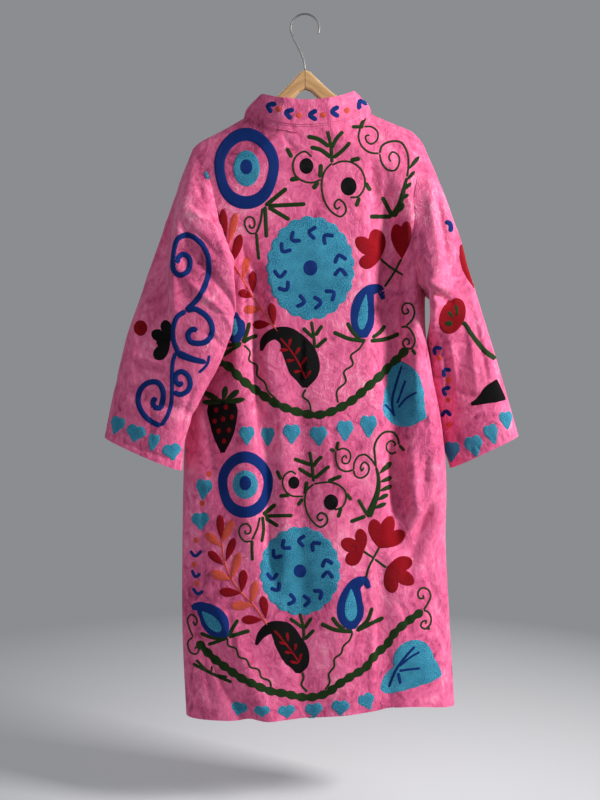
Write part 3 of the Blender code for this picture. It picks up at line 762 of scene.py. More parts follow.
fronts = {}
front_necks = {}
for side, word in ((1, "right"), (-1, "left")):
    grid = crease(front_grid(side), False, FRONT, FRONT_CREASES)
    shoulder = grid[0, FRONT_SHOULDER_CELLS:] if side > 0 else grid[0, : FRONT_NECK_CELLS + 1]
    front_necks[side] = shoulder
    fronts[side] = Cloth(f"velvet_front_{word}", grid)
    piece = fronts[side].make(VELVET)
    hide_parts(f"front_panel_{word}")
    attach(piece, "root")


# Sleeves: wide, straight tubes set into the armholes, each with its seam under the arm.
# The left one is drawn across the back as it hangs, and the right one hangs behind the roll.

SLEEVE_ROWS = 150

# Near the armhole: the share of the length, then eight points round the sleeve,
# from its outer edge over the back, under the arm and up the front.
LEFT_ROUNDS = {
    0.16: [
        (-0.2320, -0.006, -0.322),
        (-0.2050, -0.062, -0.352),
        (-0.1600, -0.087, -0.415),
        (-0.1240, -0.094, -0.490),
        (-0.2080, -0.045, -0.526),
        (-0.2300, 0.006, -0.492),
        (-0.2290, 0.036, -0.430),
        (-0.2300, 0.033, -0.366),
    ],
    0.30: [
        (-0.2580, -0.018, -0.408),
        (-0.2220, -0.068, -0.445),
        (-0.1680, -0.102, -0.492),
        (-0.1170, -0.106, -0.543),
        (-0.1780, -0.068, -0.565),
        (-0.2280, -0.020, -0.535),
        (-0.2450, 0.012, -0.480),
        (-0.2530, 0.010, -0.440),
    ],
    0.42: [
        (-0.2820, -0.025, -0.480),
        (-0.2500, -0.072, -0.503),
        (-0.1900, -0.108, -0.537),
        (-0.1270, -0.111, -0.577),
        (-0.1630, -0.080, -0.600),
        (-0.2170, -0.045, -0.585),
        (-0.2550, -0.018, -0.545),
        (-0.2740, -0.012, -0.510),
    ],
}
RIGHT_ROUNDS = {
    0.16: [
        (0.2480, 0.000, -0.318),
        (0.2350, -0.046, -0.350),
        (0.2180, -0.073, -0.420),
        (0.2080, -0.079, -0.490),
        (0.2330, -0.014, -0.524),
        (0.2330, 0.026, -0.508),
        (0.2310, 0.042, -0.440),
        (0.2380, 0.036, -0.362),
    ],
    0.30: [
        (0.2720, -0.001, -0.388),
        (0.2640, -0.050, -0.414),
        (0.2460, -0.074, -0.466),
        (0.2200, -0.079, -0.522),
        (0.2335, -0.004, -0.548),
        (0.2385, 0.028, -0.538),
        (0.2510, 0.034, -0.492),
        (0.2660, 0.026, -0.428),
    ],
}

# The rest of each sleeve: the share of the length, its outer and inner edges, how far the
# middle stands out to the back and the front, and how far the front hangs below the edges.
LEFT_RINGS = [
    (0.55, -0.3030, -0.030, -0.556, -0.1450, -0.102, -0.625, 0.032, 0.020, 0.030),
    (0.70, -0.3230, -0.033, -0.632, -0.1790, -0.093, -0.690, 0.032, 0.020, 0.018),
    (0.85, -0.3380, -0.035, -0.700, -0.2060, -0.080, -0.756, 0.033, 0.026, 0.008),
    (1.00, -0.3500, -0.035, -0.757, -0.2130, -0.070, -0.814, 0.035, 0.032, 0.000),
]
RIGHT_RINGS = [
    (0.46, 0.3000, 0.000, -0.476, 0.2220, 0.012, -0.604, 0.056, 0.026, 0.008),
    (0.57, 0.3205, 0.000, -0.542, 0.2255, 0.020, -0.642, 0.048, 0.024, 0.004),
    (0.70, 0.3420, 0.000, -0.611, 0.2350, 0.034, -0.690, 0.040, 0.024, 0.000),
    (0.85, 0.3650, 0.000, -0.690, 0.2470, 0.032, -0.756, 0.040, 0.026, 0.000),
    (1.00, 0.3840, 0.000, -0.757, 0.2640, 0.018, -0.816, 0.037, 0.032, 0.000),
]
LEFT_TWIST, RIGHT_TWIST = 60.0, 0.0

# Large folds: the angle round the tube, its slant, the share of the length, how far it
# spreads round and along, and its height
LEFT_FOLDS = [
    (40.0, 0.0, 0.50, 14.0, 0.34, 0.007),
    (84.0, 60.0, 0.26, 16.0, 0.08, -0.006),
    (80.0, 60.0, 0.34, 16.0, 0.07, 0.005),
    (90.0, 0.0, 0.76, 60.0, 0.022, -0.005),
]
RIGHT_FOLDS = [
    (40.0, 0.0, 0.45, 14.0, 0.30, 0.006),
    (118.0, 0.0, 0.27, 34.0, 0.07, 0.007),  # cloth bunched over the underarm
    (180.0, 0.0, 0.36, 40.0, 0.10, 0.006),  # the inner edge, close to the side seam
    (100.0, 30.0, 0.70, 22.0, 0.14, -0.005),
]
CUFF_BAND = 0.030  # share of the length, between the last row of stitching and the edge
PUCKER, PUCKERS, PUCKER_LENGTH = 0.0009, 34, 0.010  # small gathers where the band is sewn down
ARMHOLE_EASE = 0.1  # share of the length over which folds grow from the armhole seam
RUN_OUTWARDS = 0.18  # how far a sleeve runs outwards for each length that it runs down
EDGE_POWER, DEPTH_POWER = 0.9, 0.85  # how square a sleeve's section is

LEFT_CREASES = [
    (8.0, -0.0130, [(172, 175), (163, 230), (159, 290), (161, 352)]),
    (6.0, 0.0070, [(184, 180), (178, 235), (175, 290), (176, 350)]),
    (3.0, -0.0045, [(192, 172), (212, 215), (234, 258)]),
    (3.0, -0.0036, [(186, 200), (206, 214), (226, 226)]),
    (3.0, 0.0030, [(186, 207), (206, 221), (226, 233)]),
    (2.6, -0.0034, [(180, 222), (200, 236), (222, 262)]),
    (3.0, 0.0030, [(200, 186), (214, 226), (230, 268)]),
    (2.6, -0.0044, [(128, 360), (146, 366), (168, 374)]),
    (2.6, 0.0028, [(128, 354), (146, 360), (168, 367)]),
    (3.0, -0.0040, [(196, 380), (186, 410), (180, 440)]),
    (3.0, 0.0030, [(140, 300), (134, 350), (128, 410)]),
    (2.6, -0.0034, [(204, 300), (218, 312), (232, 316)]),
    (2.6, -0.0034, [(200, 330), (216, 340), (224, 352)]),
    (2.6, -0.0030, [(150, 395), (152, 420), (150, 445)]),
    (1.8, -0.0016, [(107, 431), (130, 443), (155, 454), (181, 461)]),
]
RIGHT_CREASES = [
    (3.2, -0.0055, [(436, 170), (441, 215), (447, 250), (455, 288)]),
    (4.6, 0.0040, [(428, 170), (433, 215), (438, 250), (444, 282)]),
    (6.0, 0.0070, [(411, 170), (414, 220), (416, 270)]),
    (3.2, -0.0090, [(418, 295), (434, 295), (446, 299), (457, 306)]),
    (4.4, 0.0080, [(410, 282), (430, 284), (444, 288), (456, 294)]),
    (3.0, -0.0045, [(441, 330), (447, 370), (450, 420)]),
    (2.8, 0.0030, [(448, 328), (455, 370), (458, 415)]),
    (3.0, -0.0036, [(470, 300), (480, 340), (490, 390)]),
    (2.8, 0.0028, [(462, 300), (472, 350), (478, 400)]),
    (2.6, -0.0034, [(444, 380), (462, 392), (486, 398)]),
    (2.4, -0.0030, [(420, 230), (424, 250), (432, 262)]),
    (2.4, -0.0030, [(462, 240), (468, 262), (476, 280)]),
    (1.8, -0.0016, [(447, 459), (470, 452), (495, 442), (516, 429)]),
]


def closed_curve(turns, points):
    """A smooth closed curve through evenly turned points."""
    waves = np.fft.rfft(np.array(points), axis=0) / len(points)
    out = np.zeros((len(turns), 3))
    for k, wave in enumerate(waves):
        share = 1 if k in (0, len(points) // 2) else 2
        out += share * np.real(wave * np.exp(1j * k * turns[:, None]))
    return out


def armhole_loop(side):
    """The armhole from the shoulder tip down the back and up the front."""
    levels = armhole_levels(side)
    z = np.concatenate([levels, levels[-2:0:-1]])
    turn = np.arange(SLEEVE_ROUND) / SLEEVE_ROUND
    behind = BODY_FORM.point(armhole_share(z, side), z)
    ahead = BODY_FORM.point(armhole_share(z, side, True), z)
    loop = np.where((turn <= 0.5)[:, None], behind, ahead)
    loop[0] = (BODY_FORM.middle(SHOULDER_Z) + side * ARMHOLE[0][1], 0.0, levels[0])
    return loop


def tube_ring(row, turn, twist):
    """Points round one section of a sleeve."""
    _, ox, oy, oz, ix, iy, iz, behind, ahead, drop = row
    outer, inner = np.array((ox, oy, oz)), np.array((ix, iy, iz))
    wide = (outer - inner) / 2
    down = np.array((RUN_OUTWARDS * np.sign(ox), 0.0, -1.0))
    deep = unit(np.cross(down, wide))
    deep *= -np.sign(deep[1])
    turned = turn + math.radians(twist) * (1 - np.cos(turn)) / 2
    c, s = np.cos(turned), np.sin(turned)
    side_to_side = np.sign(c) * np.abs(c) ** EDGE_POWER
    depth = np.where(s > 0, behind, ahead) * np.sign(s) * np.abs(s) ** DEPTH_POWER
    ring = (outer + inner) / 2 + side_to_side[:, None] * wide + depth[:, None] * deep
    ring[:, 2] -= drop * np.maximum(-s, 0.0)
    return ring


def sleeve_grid(side, rounds, rings, twist, folds):
    turn = np.arange(SLEEVE_ROUND) * 2 * math.pi / SLEEVE_ROUND
    known = np.array([0.0, *rounds] + [row[0] for row in rings])
    sections = [armhole_loop(side)] + [closed_curve(turn, points) for points in rounds.values()]
    sections += [tube_ring(row, turn, twist) for row in rings]
    along = np.linspace(0.0, 1.0, SLEEVE_ROWS + 1)
    grid = smooth_curve(along, known, np.array(sections))
    if side > 0:
        grid, turn = grid[:, ::-1], turn[::-1]
    height = np.zeros(grid.shape[:2])
    for angle, slant, centre, spread, length, tall in folds:
        far = ((along - centre) / length)[:, None]
        apart = np.degrees(turn)[None, :] - angle - slant * far
        apart = (apart + 180) % 360 - 180
        height += tall * np.exp(-((apart / spread) ** 2) - far**2)
    gather = np.exp(-(((along - 1 + CUFF_BAND) / PUCKER_LENGTH) ** 2))[:, None]
    wave = np.sin(PUCKERS * turn + 1.7 * np.sin(3 * turn))[None, :]
    height += PUCKER * gather * (wave - 1.0)
    height *= ease(along / ARMHOLE_EASE)[:, None]
    return grid + height[..., None] * grid_normals(grid, True)


sleeves = {}
for side, word, rounds, rings, twist, folds, creases in (
    (-1, "left", LEFT_ROUNDS, LEFT_RINGS, LEFT_TWIST, LEFT_FOLDS, LEFT_CREASES),
    (1, "right", RIGHT_ROUNDS, RIGHT_RINGS, RIGHT_TWIST, RIGHT_FOLDS, RIGHT_CREASES),
):
    grid = crease(sleeve_grid(side, rounds, rings, twist, folds), True, BACK, creases)
    sleeves[side] = Cloth(f"velvet_sleeve_{word}", grid, True)
    piece = sleeves[side].make(VELVET)
    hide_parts(f"sleeve_{word}")
    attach(piece, "root")


# Collar: a band of the same velvet, sewn round the neck and standing up, doubled and pressed.
# It leans in a little at the sides, and its ends meet at the centre front.

COLLAR_HEIGHT, COLLAR_LEAN, COLLAR_SLUMP = 0.059, 42.0, 0.25
COLLAR_ROWS = 26
COLLAR_FOOT = 0.12  # share of its height over which creases grow from the neck seam
COLLAR_CREASES = [
    (2.6, -0.0026, [(262, 97), (264, 104), (258, 112)]),
    (2.4, 0.0016, [(266, 98), (269, 106), (264, 115)]),
    (2.4, -0.0016, [(286, 98), (284, 108), (290, 118)]),
    (2.4, -0.0012, [(300, 99), (303, 112), (299, 122)]),
    (2.4, -0.0018, [(349, 100), (357, 99), (367, 102)]),
    (2.2, -0.0016, [(350, 116), (356, 108), (364, 108)]),
    (1.1, -0.0007, [(256, 112), (275, 122.5), (304, 126.5), (333, 124), (364, 112)]),
]

neck = np.concatenate([front_necks[-1][:-1], back_neck, front_necks[1][1:]])
out = unit(np.cross(np.gradient(neck, axis=0), (0.0, 0.0, 1.0)))
roll = np.maximum(2 * math.radians(COLLAR_LEAN) * np.abs(out[:, :1]) ** 1.5, 1e-3)
height = COLLAR_HEIGHT * (1 - COLLAR_SLUMP * out[:, :1] ** 2)
lift = np.linspace(1.0, 0.0, COLLAR_ROWS + 1)[:, None, None]
up = np.sin(roll * lift) / roll * (0.0, 0.0, 1.0)
inwards = (np.cos(roll * lift) - 1) / roll * np.sign(out[:, :1]) * (1.0, 0.0, 0.0)
grid = neck + height * (up + inwards)
creased = crease(grid, False, BACK, COLLAR_CREASES)
grid = grid + (creased - grid) * ease(lift / COLLAR_FOOT)
collar = Cloth("velvet_collar", grid)
piece = collar.make(VELVET)
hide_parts("collar")
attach(piece, "root")


# Embroidery on the back: chain stitch in cotton thread, worked in rows that follow each shape.
# Two repeats of the same folk flowers, rings and paisleys run down the panel above hearts.
# All of it is drawn in pixels of the photograph's frame and then laid on the cloth.

ROW = 0.0017  # from one row of chain stitch to the next
STITCH = 0.0030  # length of one stitch
FLECK = 1 / 330  # length of a fleck in the thread
THREAD_WALL = 0.0016
LIFT = {1: 0.0008, 2: 0.0013, 3: 0.0018}  # stitches over stitches stand higher
EDGE_DROP = 0.0009  # the edge of a shape is drawn down into the pile
THREAD_SMOOTH_ANGLE = math.radians(50)
WELD = 4e-6
CELL, STRIP_CELL, LEAF_CELL, DROP_CELL = 1.8, 1.7, 1.4, 1.5  # pixels between mesh points
FIRST_MARK = 84  # degrees, of the marks on a medallion
MARKS_OUT = np.array((0.69, 0.68))  # their distance from its middle, across and down
MARK_REACH = 0.225  # length of an arm of a mark, as a share of the medallion's reach
LEAST_ON_CLOTH = 0.10  # a patch of which less than this meets the cloth isn't sewn

# The main colour of each thread, and the darker colour of the fleck that runs through it, which
# also darkens the grooves between the rows as painted shade
THREADS = {
    "blue": ((0.004, 0.034, 0.215), (0.003, 0.016, 0.110)),
    "turquoise": ((0.075, 0.420, 0.610), (0.008, 0.120, 0.230)),
    "green": ((0.017, 0.052, 0.010), (0.006, 0.020, 0.004)),
    "black": ((0.0035, 0.003, 0.0035), (0.001, 0.001, 0.001)),
    "red": ((0.320, 0.001, 0.009), (0.150, 0.001, 0.004)),
    "coral": ((0.800, 0.120, 0.075), (0.560, 0.055, 0.035)),
    "pink": ((0.760, 0.170, 0.330), (0.560, 0.090, 0.210)),
}
HEATHER = {"turquoise": 1.0, "coral": 0.7}  # how strongly the flecks show
PLAIN_HEATHER = 0.55


@functools.cache
def thread_finish(colour):
    """The finish of one thread, made once: rows of linked stitches with darker flecks, and painted
    shade in the grooves between the rows.
    """
    thread = Finish(f"thread_{colour}", Roughness=0.75)
    thread.shader.inputs["Specular IOR Level"].default_value = 0.12
    where = thread.node("ShaderNodeUVMap", {"uv_map": "rows"}, {})
    along, across = (
        thread.node("ShaderNodeSeparateXYZ", {}, {0: where}, name) for name in ("X", "Y")
    )
    row = abs((across * (1 / ROW)).fraction() - 0.5) * 2.0
    link = abs((along * (1 / STITCH) + row * 0.35).fraction() - 0.5) * 2.0
    fleck_place = thread.node(
        "ShaderNodeCombineXYZ", {}, {"X": along * (1 / FLECK), "Y": across * (1 / ROW)}
    )
    fleck = thread.noise(fleck_place, scale=1.0, detail=3.0, roughness=0.7)
    wide = thread.noise(thread.place(), scale=45.0)
    main, fleck_and_groove_shade = (value + (1.0,) for value in THREADS[colour])
    strong = HEATHER.get(colour, PLAIN_HEATHER)
    share = thread.range(fleck * 0.8 + wide * 0.2, 0.38, 0.58, 1.0 - strong, 1.0)
    # Painted shade: the colour darkens towards the fleck colour in the grooves between the rows of
    # stitches.
    painted_groove_shade = thread.range(row, 0.55, 1.0, 1.0, 0.35)
    heathered = thread.blend(share, fleck_and_groove_shade, main)
    thread.wire("Base Color", thread.blend(painted_groove_shade, fleck_and_groove_shade, heathered))
    thread.wire("Roughness", thread.range(fleck, 0.3, 0.7, 0.6, 0.85))
    relief = (1.0 - row * row) * (1.0 - link * 0.5)
    thread.wire("Normal", thread.bump(relief, distance=0.0010))
    return thread.material


def oval_reach(across, down):
    """The distance from the middle of an oval to its edge, as a function of the angle."""
    return lambda t: across * down / math.hypot(down * math.cos(t), across * math.sin(t))


def table_reach(table):
    """The same for a shape whose reach is given at a few angles, in degrees."""
    angles = np.radians([angle for angle, _ in table])
    reaches = np.array([reach for _, reach in table], float)
    return lambda t: float(np.interp(t, angles, reaches, period=2 * math.pi))


class Stitching:
    """Chain stitch on one piece of cloth, gathered by the colour of its thread."""

    def __init__(self, name, cloth, side, step=1.0):
        self.name, self.cloth, self.side, self.step = name, cloth, side, step
        self.strips = {}

    def lay(self, colour, pixels, rows, height, level):
        """One patch of stitching, as a grid of pixels with its place along and across the rows."""
        shape = pixels.shape[:2]
        place, out, met = self.cloth.land(pixels.reshape(-1, 2).tolist(), self.side)
        if met.mean() < LEAST_ON_CLOTH:
            return
        lift = LIFT[level] - EDGE_DROP * (1 - height.reshape(-1, 1))
        points = place + out * lift
        self.strips.setdefault(colour, []).append((points, rows, met, shape))

    def band(self, colour, line, run, wide, level):
        """A strip of stitching along a line, with its width at each of the line's points."""
        along = unit(np.gradient(line, axis=0))
        side = np.stack([-along[:, 1], along[:, 0]], axis=1)
        cols = max(4, int(math.ceil(wide.max() / STRIP_CELL / self.step)) + 1)
        across = np.linspace(-0.5, 0.5, cols)
        pixels = line[:, None] + (wide[:, None] * across)[..., None] * side[:, None]
        rows = np.stack(
            np.broadcast_arrays(run[:, None] * PIXEL, (wide[:, None] * across) * PIXEL), axis=-1
        )
        height = np.broadcast_to(1 - np.abs(2 * across) ** 6, rows.shape[:2]).copy()
        height[[0, -1]] = 0.0
        self.lay(colour, pixels, rows, height, level)

    def stem(self, colour, width, *points, level=1, taper=1.0, wave=0.0, waves=0):
        """A line of stitching with round ends. Taper is its last width as a share of its first."""
        line, run = line_through(points, self.step * min(STRIP_CELL, max(0.9, width / 3)))
        t = run / run[-1]
        wide = width * (1 + (taper - 1) * t)
        if waves:
            wide = wide * (1 - wave + 2 * wave * np.abs(np.sin(math.pi * waves * t)))
        ends = np.clip(np.minimum(run, run[-1] - run) / (width / 2), 0.0, 1.0)
        self.band(colour, line, run, wide * np.maximum(np.sqrt(1 - (1 - ends) ** 2), 0.15), level)

    def leaf(self, colour, width, foot, tip, level=1, bend=0.0, full=0.66):
        """A round-ended leaf or petal, fullest at a share of its length, bent to one side."""
        foot, tip = np.array(foot, float), np.array(tip, float)
        step = tip - foot
        middle = (foot + tip) / 2 + bend * np.array([-step[1], step[0]])
        line, run = line_through([foot, middle, tip], LEAF_CELL * self.step)
        t = run / run[-1]
        near = np.sin(math.pi / 2 * np.minimum(t / full, 1.0)) ** 0.9
        far = np.cos(math.pi / 2 * np.clip((t - full) / (1 - full), 0.0, 1.0)) ** 0.5
        self.band(colour, line, run, width * np.maximum(near * far, 0.12), level)

    def shape(self, colour, centre, reach, level=1, lean=0.0, inner=1e-3):
        """A filled shape, worked in rings from its middle or from a share of its reach."""
        turn = np.linspace(0, 2 * math.pi, 25)[:-1]
        longest = max(reach(t) for t in turn)
        around = max(14, int(math.ceil(2 * math.pi * longest / CELL / self.step)))
        turn = np.linspace(0, 2 * math.pi, around + 1)
        size = np.array([reach(t) for t in turn])
        rings = max(3, int(math.ceil(longest * (1 - inner) / CELL / self.step)))
        share = np.linspace(inner, 1.0, rings + 1)[:, None]
        tilt = math.radians(lean)
        x = share * size * np.cos(turn)
        y = -share * size * np.sin(turn)
        pixels = np.stack(
            [
                centre[0] + x * math.cos(tilt) + y * math.sin(tilt),
                centre[1] - x * math.sin(tilt) + y * math.cos(tilt),
            ],
            axis=-1,
        )
        rows = np.stack(
            np.broadcast_arrays(turn * longest * 0.7 * PIXEL, share * size * PIXEL), axis=-1
        )
        edge = (share > 0.999) | ((share == inner) & (inner > 0.1))
        height = np.broadcast_to(np.where(edge, 0.0, 1.0), pixels.shape[:2])
        self.lay(colour, pixels, rows, height, level)

    def oval(self, colour, centre, across, down, level=1):
        self.shape(colour, centre, oval_reach(across, down), level)

    def eye(self, centre, across, down, width, iris, pupil):
        """A blue ring round a turquoise oval with a blue middle."""
        uneven = oval_reach(across, down)
        self.shape(
            "blue",
            centre,
            lambda t: uneven(t) * (1 + 0.012 * math.sin(3 * t + 0.6) + 0.010 * math.sin(5 * t)),
            inner=1 - width / across,
        )
        self.oval("turquoise", centre, *iris)
        self.oval("blue", (centre[0], centre[1] - 1.5), *pupil, level=2)

    def heart(self, centre, width, tall, lean=0.0):
        """Two round lobes over a point."""

        def swelling(t, at, size, spread):
            return size * math.exp(-(((t - at) / spread) ** 2))

        def reach(t):
            x, y = math.cos(t), math.sin(t)
            notch = swelling(t, math.pi / 2, 0.34, 0.36)
            point = swelling(t, 3 * math.pi / 2, 0.20, 0.34)
            flank = 1 - 0.24 * max(-y, 0.0) * abs(x) * 2
            return 0.5 * math.hypot(width * x, tall * y) * (1.06 - notch + point) * flank

        self.shape("turquoise", centre, reach, 1, lean)

    def boomerang(self, centre, reach, angle, width=5.2, level=2, spread=43.0):
        """Two short arms that meet at a rounded corner, which points the given way."""

        def step(turn):
            return np.array([math.cos(math.radians(turn)), -math.sin(math.radians(turn))])

        corner = np.array(centre) + 0.45 * reach * step(angle)
        ends = [corner - reach * step(angle + lean) for lean in (-spread, spread)]
        self.stem("blue", width, ends[0], corner, ends[1], level=level)

    def medallion(self, centre, across, down, scallops, marks):
        """A scalloped turquoise disc with a ring of blue boomerangs and a blue middle."""
        oval = oval_reach(across, down)
        self.shape(
            "turquoise",
            centre,
            lambda t: oval(t) * (0.962 + 0.050 * abs(math.sin(scallops * t / 2))),
        )
        self.oval("blue", centre, across * 0.175, down * 0.165, 2)
        # The marks stand a little unevenly, as they are sewn by eye
        for k in range(marks):
            angle = FIRST_MARK + 360 * k / marks + 5 * math.sin(2.6 * k)
            turn = math.radians(angle)
            away = MARKS_OUT * np.array((across * math.cos(turn), -down * math.sin(turn)))
            mark = tuple(np.array(centre) + away)
            self.boomerang(mark, across * MARK_REACH, angle + 90 + 9 * math.sin(1.7 * k))

    def drop(self, colour, spine, widths):
        """A drop that curls at its tip, along a spine with a width at each of its points."""
        line, run = line_through(spine, DROP_CELL * self.step)
        chords = np.cumsum([0.0, *np.linalg.norm(np.diff(spine, axis=0), axis=1)])
        wide = smooth_curve(run, chords * run[-1] / chords[-1], np.array(widths, float))
        self.band(colour, line, run, np.maximum(wide, 1.0), 1)

    def tulip(self, foot, middle, lobes):
        """Three round lobes from one foot."""
        for tip, width in lobes:
            self.leaf("red", width, foot, tip, full=0.62)
        self.oval("red", middle, 6.0, 6.0)

    def work(self):
        """Makes one piece for each colour of thread."""
        for colour, strips in self.strips.items():
            made = []
            for points, rows, met, shape in strips:
                bpy.ops.mesh.primitive_grid_add(
                    x_subdivisions=shape[1] - 1, y_subdivisions=shape[0] - 1, size=1
                )
                strip = bpy.context.object
                mesh = strip.data
                mesh.vertices.foreach_set("co", points.reshape(-1))
                corners = np.empty(len(mesh.loops), int)
                mesh.loops.foreach_get("vertex_index", corners)
                mesh.uv_layers[0].name = "rows"
                mesh.uv_layers["rows"].data.foreach_set(
                    "uv", rows.reshape(-1, 2)[corners].reshape(-1)
                )
                self.trim(strip, met)
                made.append(strip)
            for strip in made:
                strip.select_set(True)
            bpy.context.view_layer.objects.active = made[0]
            if len(made) > 1:
                bpy.ops.object.join()
            whole = bpy.context.object
            whole.name = whole.data.name = f"stitch_{self.name}_{colour}"
            bpy.ops.object.mode_set(mode="EDIT")
            bpy.ops.mesh.select_all(action="SELECT")
            bpy.ops.mesh.remove_doubles(threshold=WELD)
            bpy.ops.object.mode_set(mode="OBJECT")
            wall = whole.modifiers.new("thread", "SOLIDIFY")
            wall.thickness, wall.offset = THREAD_WALL, -1.0
            bpy.ops.object.modifier_apply(modifier=wall.name)
            bpy.ops.object.shade_smooth_by_angle(angle=THREAD_SMOOTH_ANGLE)
            whole.data.materials.append(thread_finish(colour))
            whole.select_set(False)
            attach(whole, "root")

    def trim(self, strip, met):
        """Turns the faces outwards, and drops those that miss the cloth altogether."""
        mesh = strip.data
        mesh.update()
        facing = sum(face.normal.y * face.area for face in mesh.polygons)
        if facing * self.side < 0:
            mesh.flip_normals()
        if met.all():
            return
        bpy.ops.object.mode_set(mode="EDIT")
        bpy.ops.mesh.select_mode(type="FACE")
        bpy.ops.mesh.select_all(action="DESELECT")
        bpy.ops.object.mode_set(mode="OBJECT")
        for face in mesh.polygons:
            face.select = not any(met[k] for k in face.vertices)
        bpy.ops.object.mode_set(mode="EDIT")
        bpy.ops.mesh.delete(type="FACE")
        bpy.ops.object.mode_set(mode="OBJECT")
        strip.select_set(False)


def sew_stems(work, colour, stems):
    """Each stem is its width and then its points."""
    for width, *points in stems:
        work.stem(colour, width, *points)


def sew_leaves(work, colour, leaves, level=1):
    """Each leaf is its width, its foot and its tip."""
    for width, foot, tip in leaves:
        work.leaf(colour, width, foot, tip, level)


def sew_hearts(work, hearts):
    for x, y, width, tall, lean in hearts:
        work.heart((x, y), width, tall, lean)


# The upper repeat

UPPER_STEMS = [
    # Sprig and curl below the ring
    (4.8, (265, 206), (287, 188)),
    (4.6, (268, 206), (306, 204)),
    (4.6, (268, 207), (290, 220)),
    (4.4, (265, 206), (266.5, 238)),
    (2.6, (262.5, 208), (260.5, 222), (256.5, 233)),
    (3.4, (256.5, 233), (257.5, 246), (259, 260)),
    (2.0, (257, 233), (251, 233.5), (246, 228), (245, 221), (248, 217), (253, 218), (255, 223),
     (253, 228), (250, 227), (250, 224)),
    # Five leaves over the rings
    (4.0, (332, 163), (331, 147), (327.3, 130)),
    (4.8, (329.5, 147), (318, 139), (306.8, 136.3)),
    (4.4, (331, 149), (337, 138), (343.4, 131)),
    (4.8, (331, 158), (321, 150), (310, 147)),
    (4.4, (333, 158), (342, 151), (350.5, 142)),
    # Small ring
    (2.2, (312, 157), (305, 151.5), (296, 156.5), (293, 167), (296, 176), (303, 181), (313, 182.5),
     (321, 179.5)),
    (4.8, (286.5, 147.5), (292, 158)),
    (5.2, (289.5, 180), (299.5, 178)),
    (5.0, (321, 163.5), (320, 178)),
    (5.2, (313, 189.5), (318.5, 181)),
    # Large ring and its curl
    (2.2, (332, 163), (325.5, 170), (322, 181), (322.5, 193), (326, 204), (333, 213), (341, 216.5),
     (346, 211), (344, 203), (338.5, 199.5), (334.5, 204.5), (337, 209), (340.5, 206.5)),
    (2.2, (332, 165), (341, 161.5), (352, 162.5), (361, 169.5), (365, 181), (363.5, 190),
     (358, 196.5), (350, 197.5)),
    (5.0, (350, 160.5), (360.5, 158.3)),
    (4.8, (365.5, 182), (370.5, 191.5)),
    (4.6, (359.5, 197), (356, 207)),
    # Scrolls at the right shoulder
    (4.4, (365, 117), (360.5, 127)),
    (4.0, (351.5, 126.8), (364, 126.8)),
    (2.3, (360.5, 127), (358.5, 137), (362.5, 147), (370, 152.5), (379, 153.5)),
    (2.1, (364, 126.5), (372, 127), (377.5, 132), (377, 140), (371, 144), (366.5, 141), (366, 136),
     (370, 135)),
    (2.5, (379.5, 153.5), (382, 146), (390.5, 141.5), (401, 142.5), (407, 152), (408.5, 165),
     (407, 177)),
    (2.1, (379.5, 153.5), (382, 163), (387.5, 169.5), (394.5, 170.5), (399, 164), (398, 155),
     (392.5, 152), (389, 157.5), (391, 162)),
    (4.6, (392.5, 216.6), (382, 196.5)),
    (4.6, (392, 216.6), (369.5, 216.6)),
    # Crossed stems of the tulips
    (2.6, (380, 258.6), (390, 267), (403, 275)),
    (2.6, (401.5, 258.6), (395, 271), (384.5, 287)),
    # Calyx of the blue paisley, and its stem
    (4.6, (366, 341), (350, 339), (333, 332)),
    (4.6, (360, 339.5), (352, 331), (347, 322)),
    (4.4, (372, 338), (380, 332), (385.5, 325)),
    (4.6, (370, 341), (386, 339), (399.5, 333.5)),
    (2.2, (364, 342), (359, 349), (351, 356), (353, 364), (344, 372), (346, 381), (337, 391),
     (338, 403)),
    # Calyx of the small paisley, and its stem
    (4.6, (242.5, 343), (247, 332), (249.6, 322)),
    (4.4, (242.5, 343), (251, 337.5), (258, 335.5)),
    (4.6, (242, 343), (230, 345), (219.5, 346)),
    (4.6, (241, 344), (231, 350), (222, 356)),
    (2.2, (244, 345), (250, 352), (249, 360), (257, 366), (257, 375), (265, 383), (268, 391),
     (276, 399)),
    # Sprig beside the black paisley, and its stem
    (3.6, (315, 349), (313.8, 337), (311.3, 321)),
    (4.2, (313.5, 338), (302.5, 327.5)),
    (4.2, (315, 336), (322.5, 325)),
    (4.2, (315.7, 348), (327, 338)),
    (2.2, (306, 389), (303, 396), (309, 402), (311, 411)),
    # Double scroll beside the right side seam
    (2.2, (401, 327), (407, 327), (413, 334), (415, 342), (411, 348.5), (405, 347.5), (403, 342),
     (406.5, 338.5), (409.5, 342.5), (407, 345)),
    (2.2, (406, 326), (412, 320), (414.5, 312), (411, 304), (405, 303.5), (402, 309), (404.5, 314),
     (408.5, 312), (407, 308)),
    (3.8, (412, 349), (416, 355)),
    # Curl above the strawberry
    (2.0, (200, 384), (207, 384), (210, 378), (207.5, 372), (202, 372.5), (201, 377.5),
     (205, 378.5)),
]
UPPER_BARBS = [
    (4.6, (408, 170), (419.5, 156)),
    (4.2, (406, 181), (415, 171)),
    (4.2, (404, 190), (411.5, 182.5)),
    (4.4, (400, 200), (409, 194)),
    (7.5, (395, 214), (404, 203)),
]

# The lower repeat, a little smaller

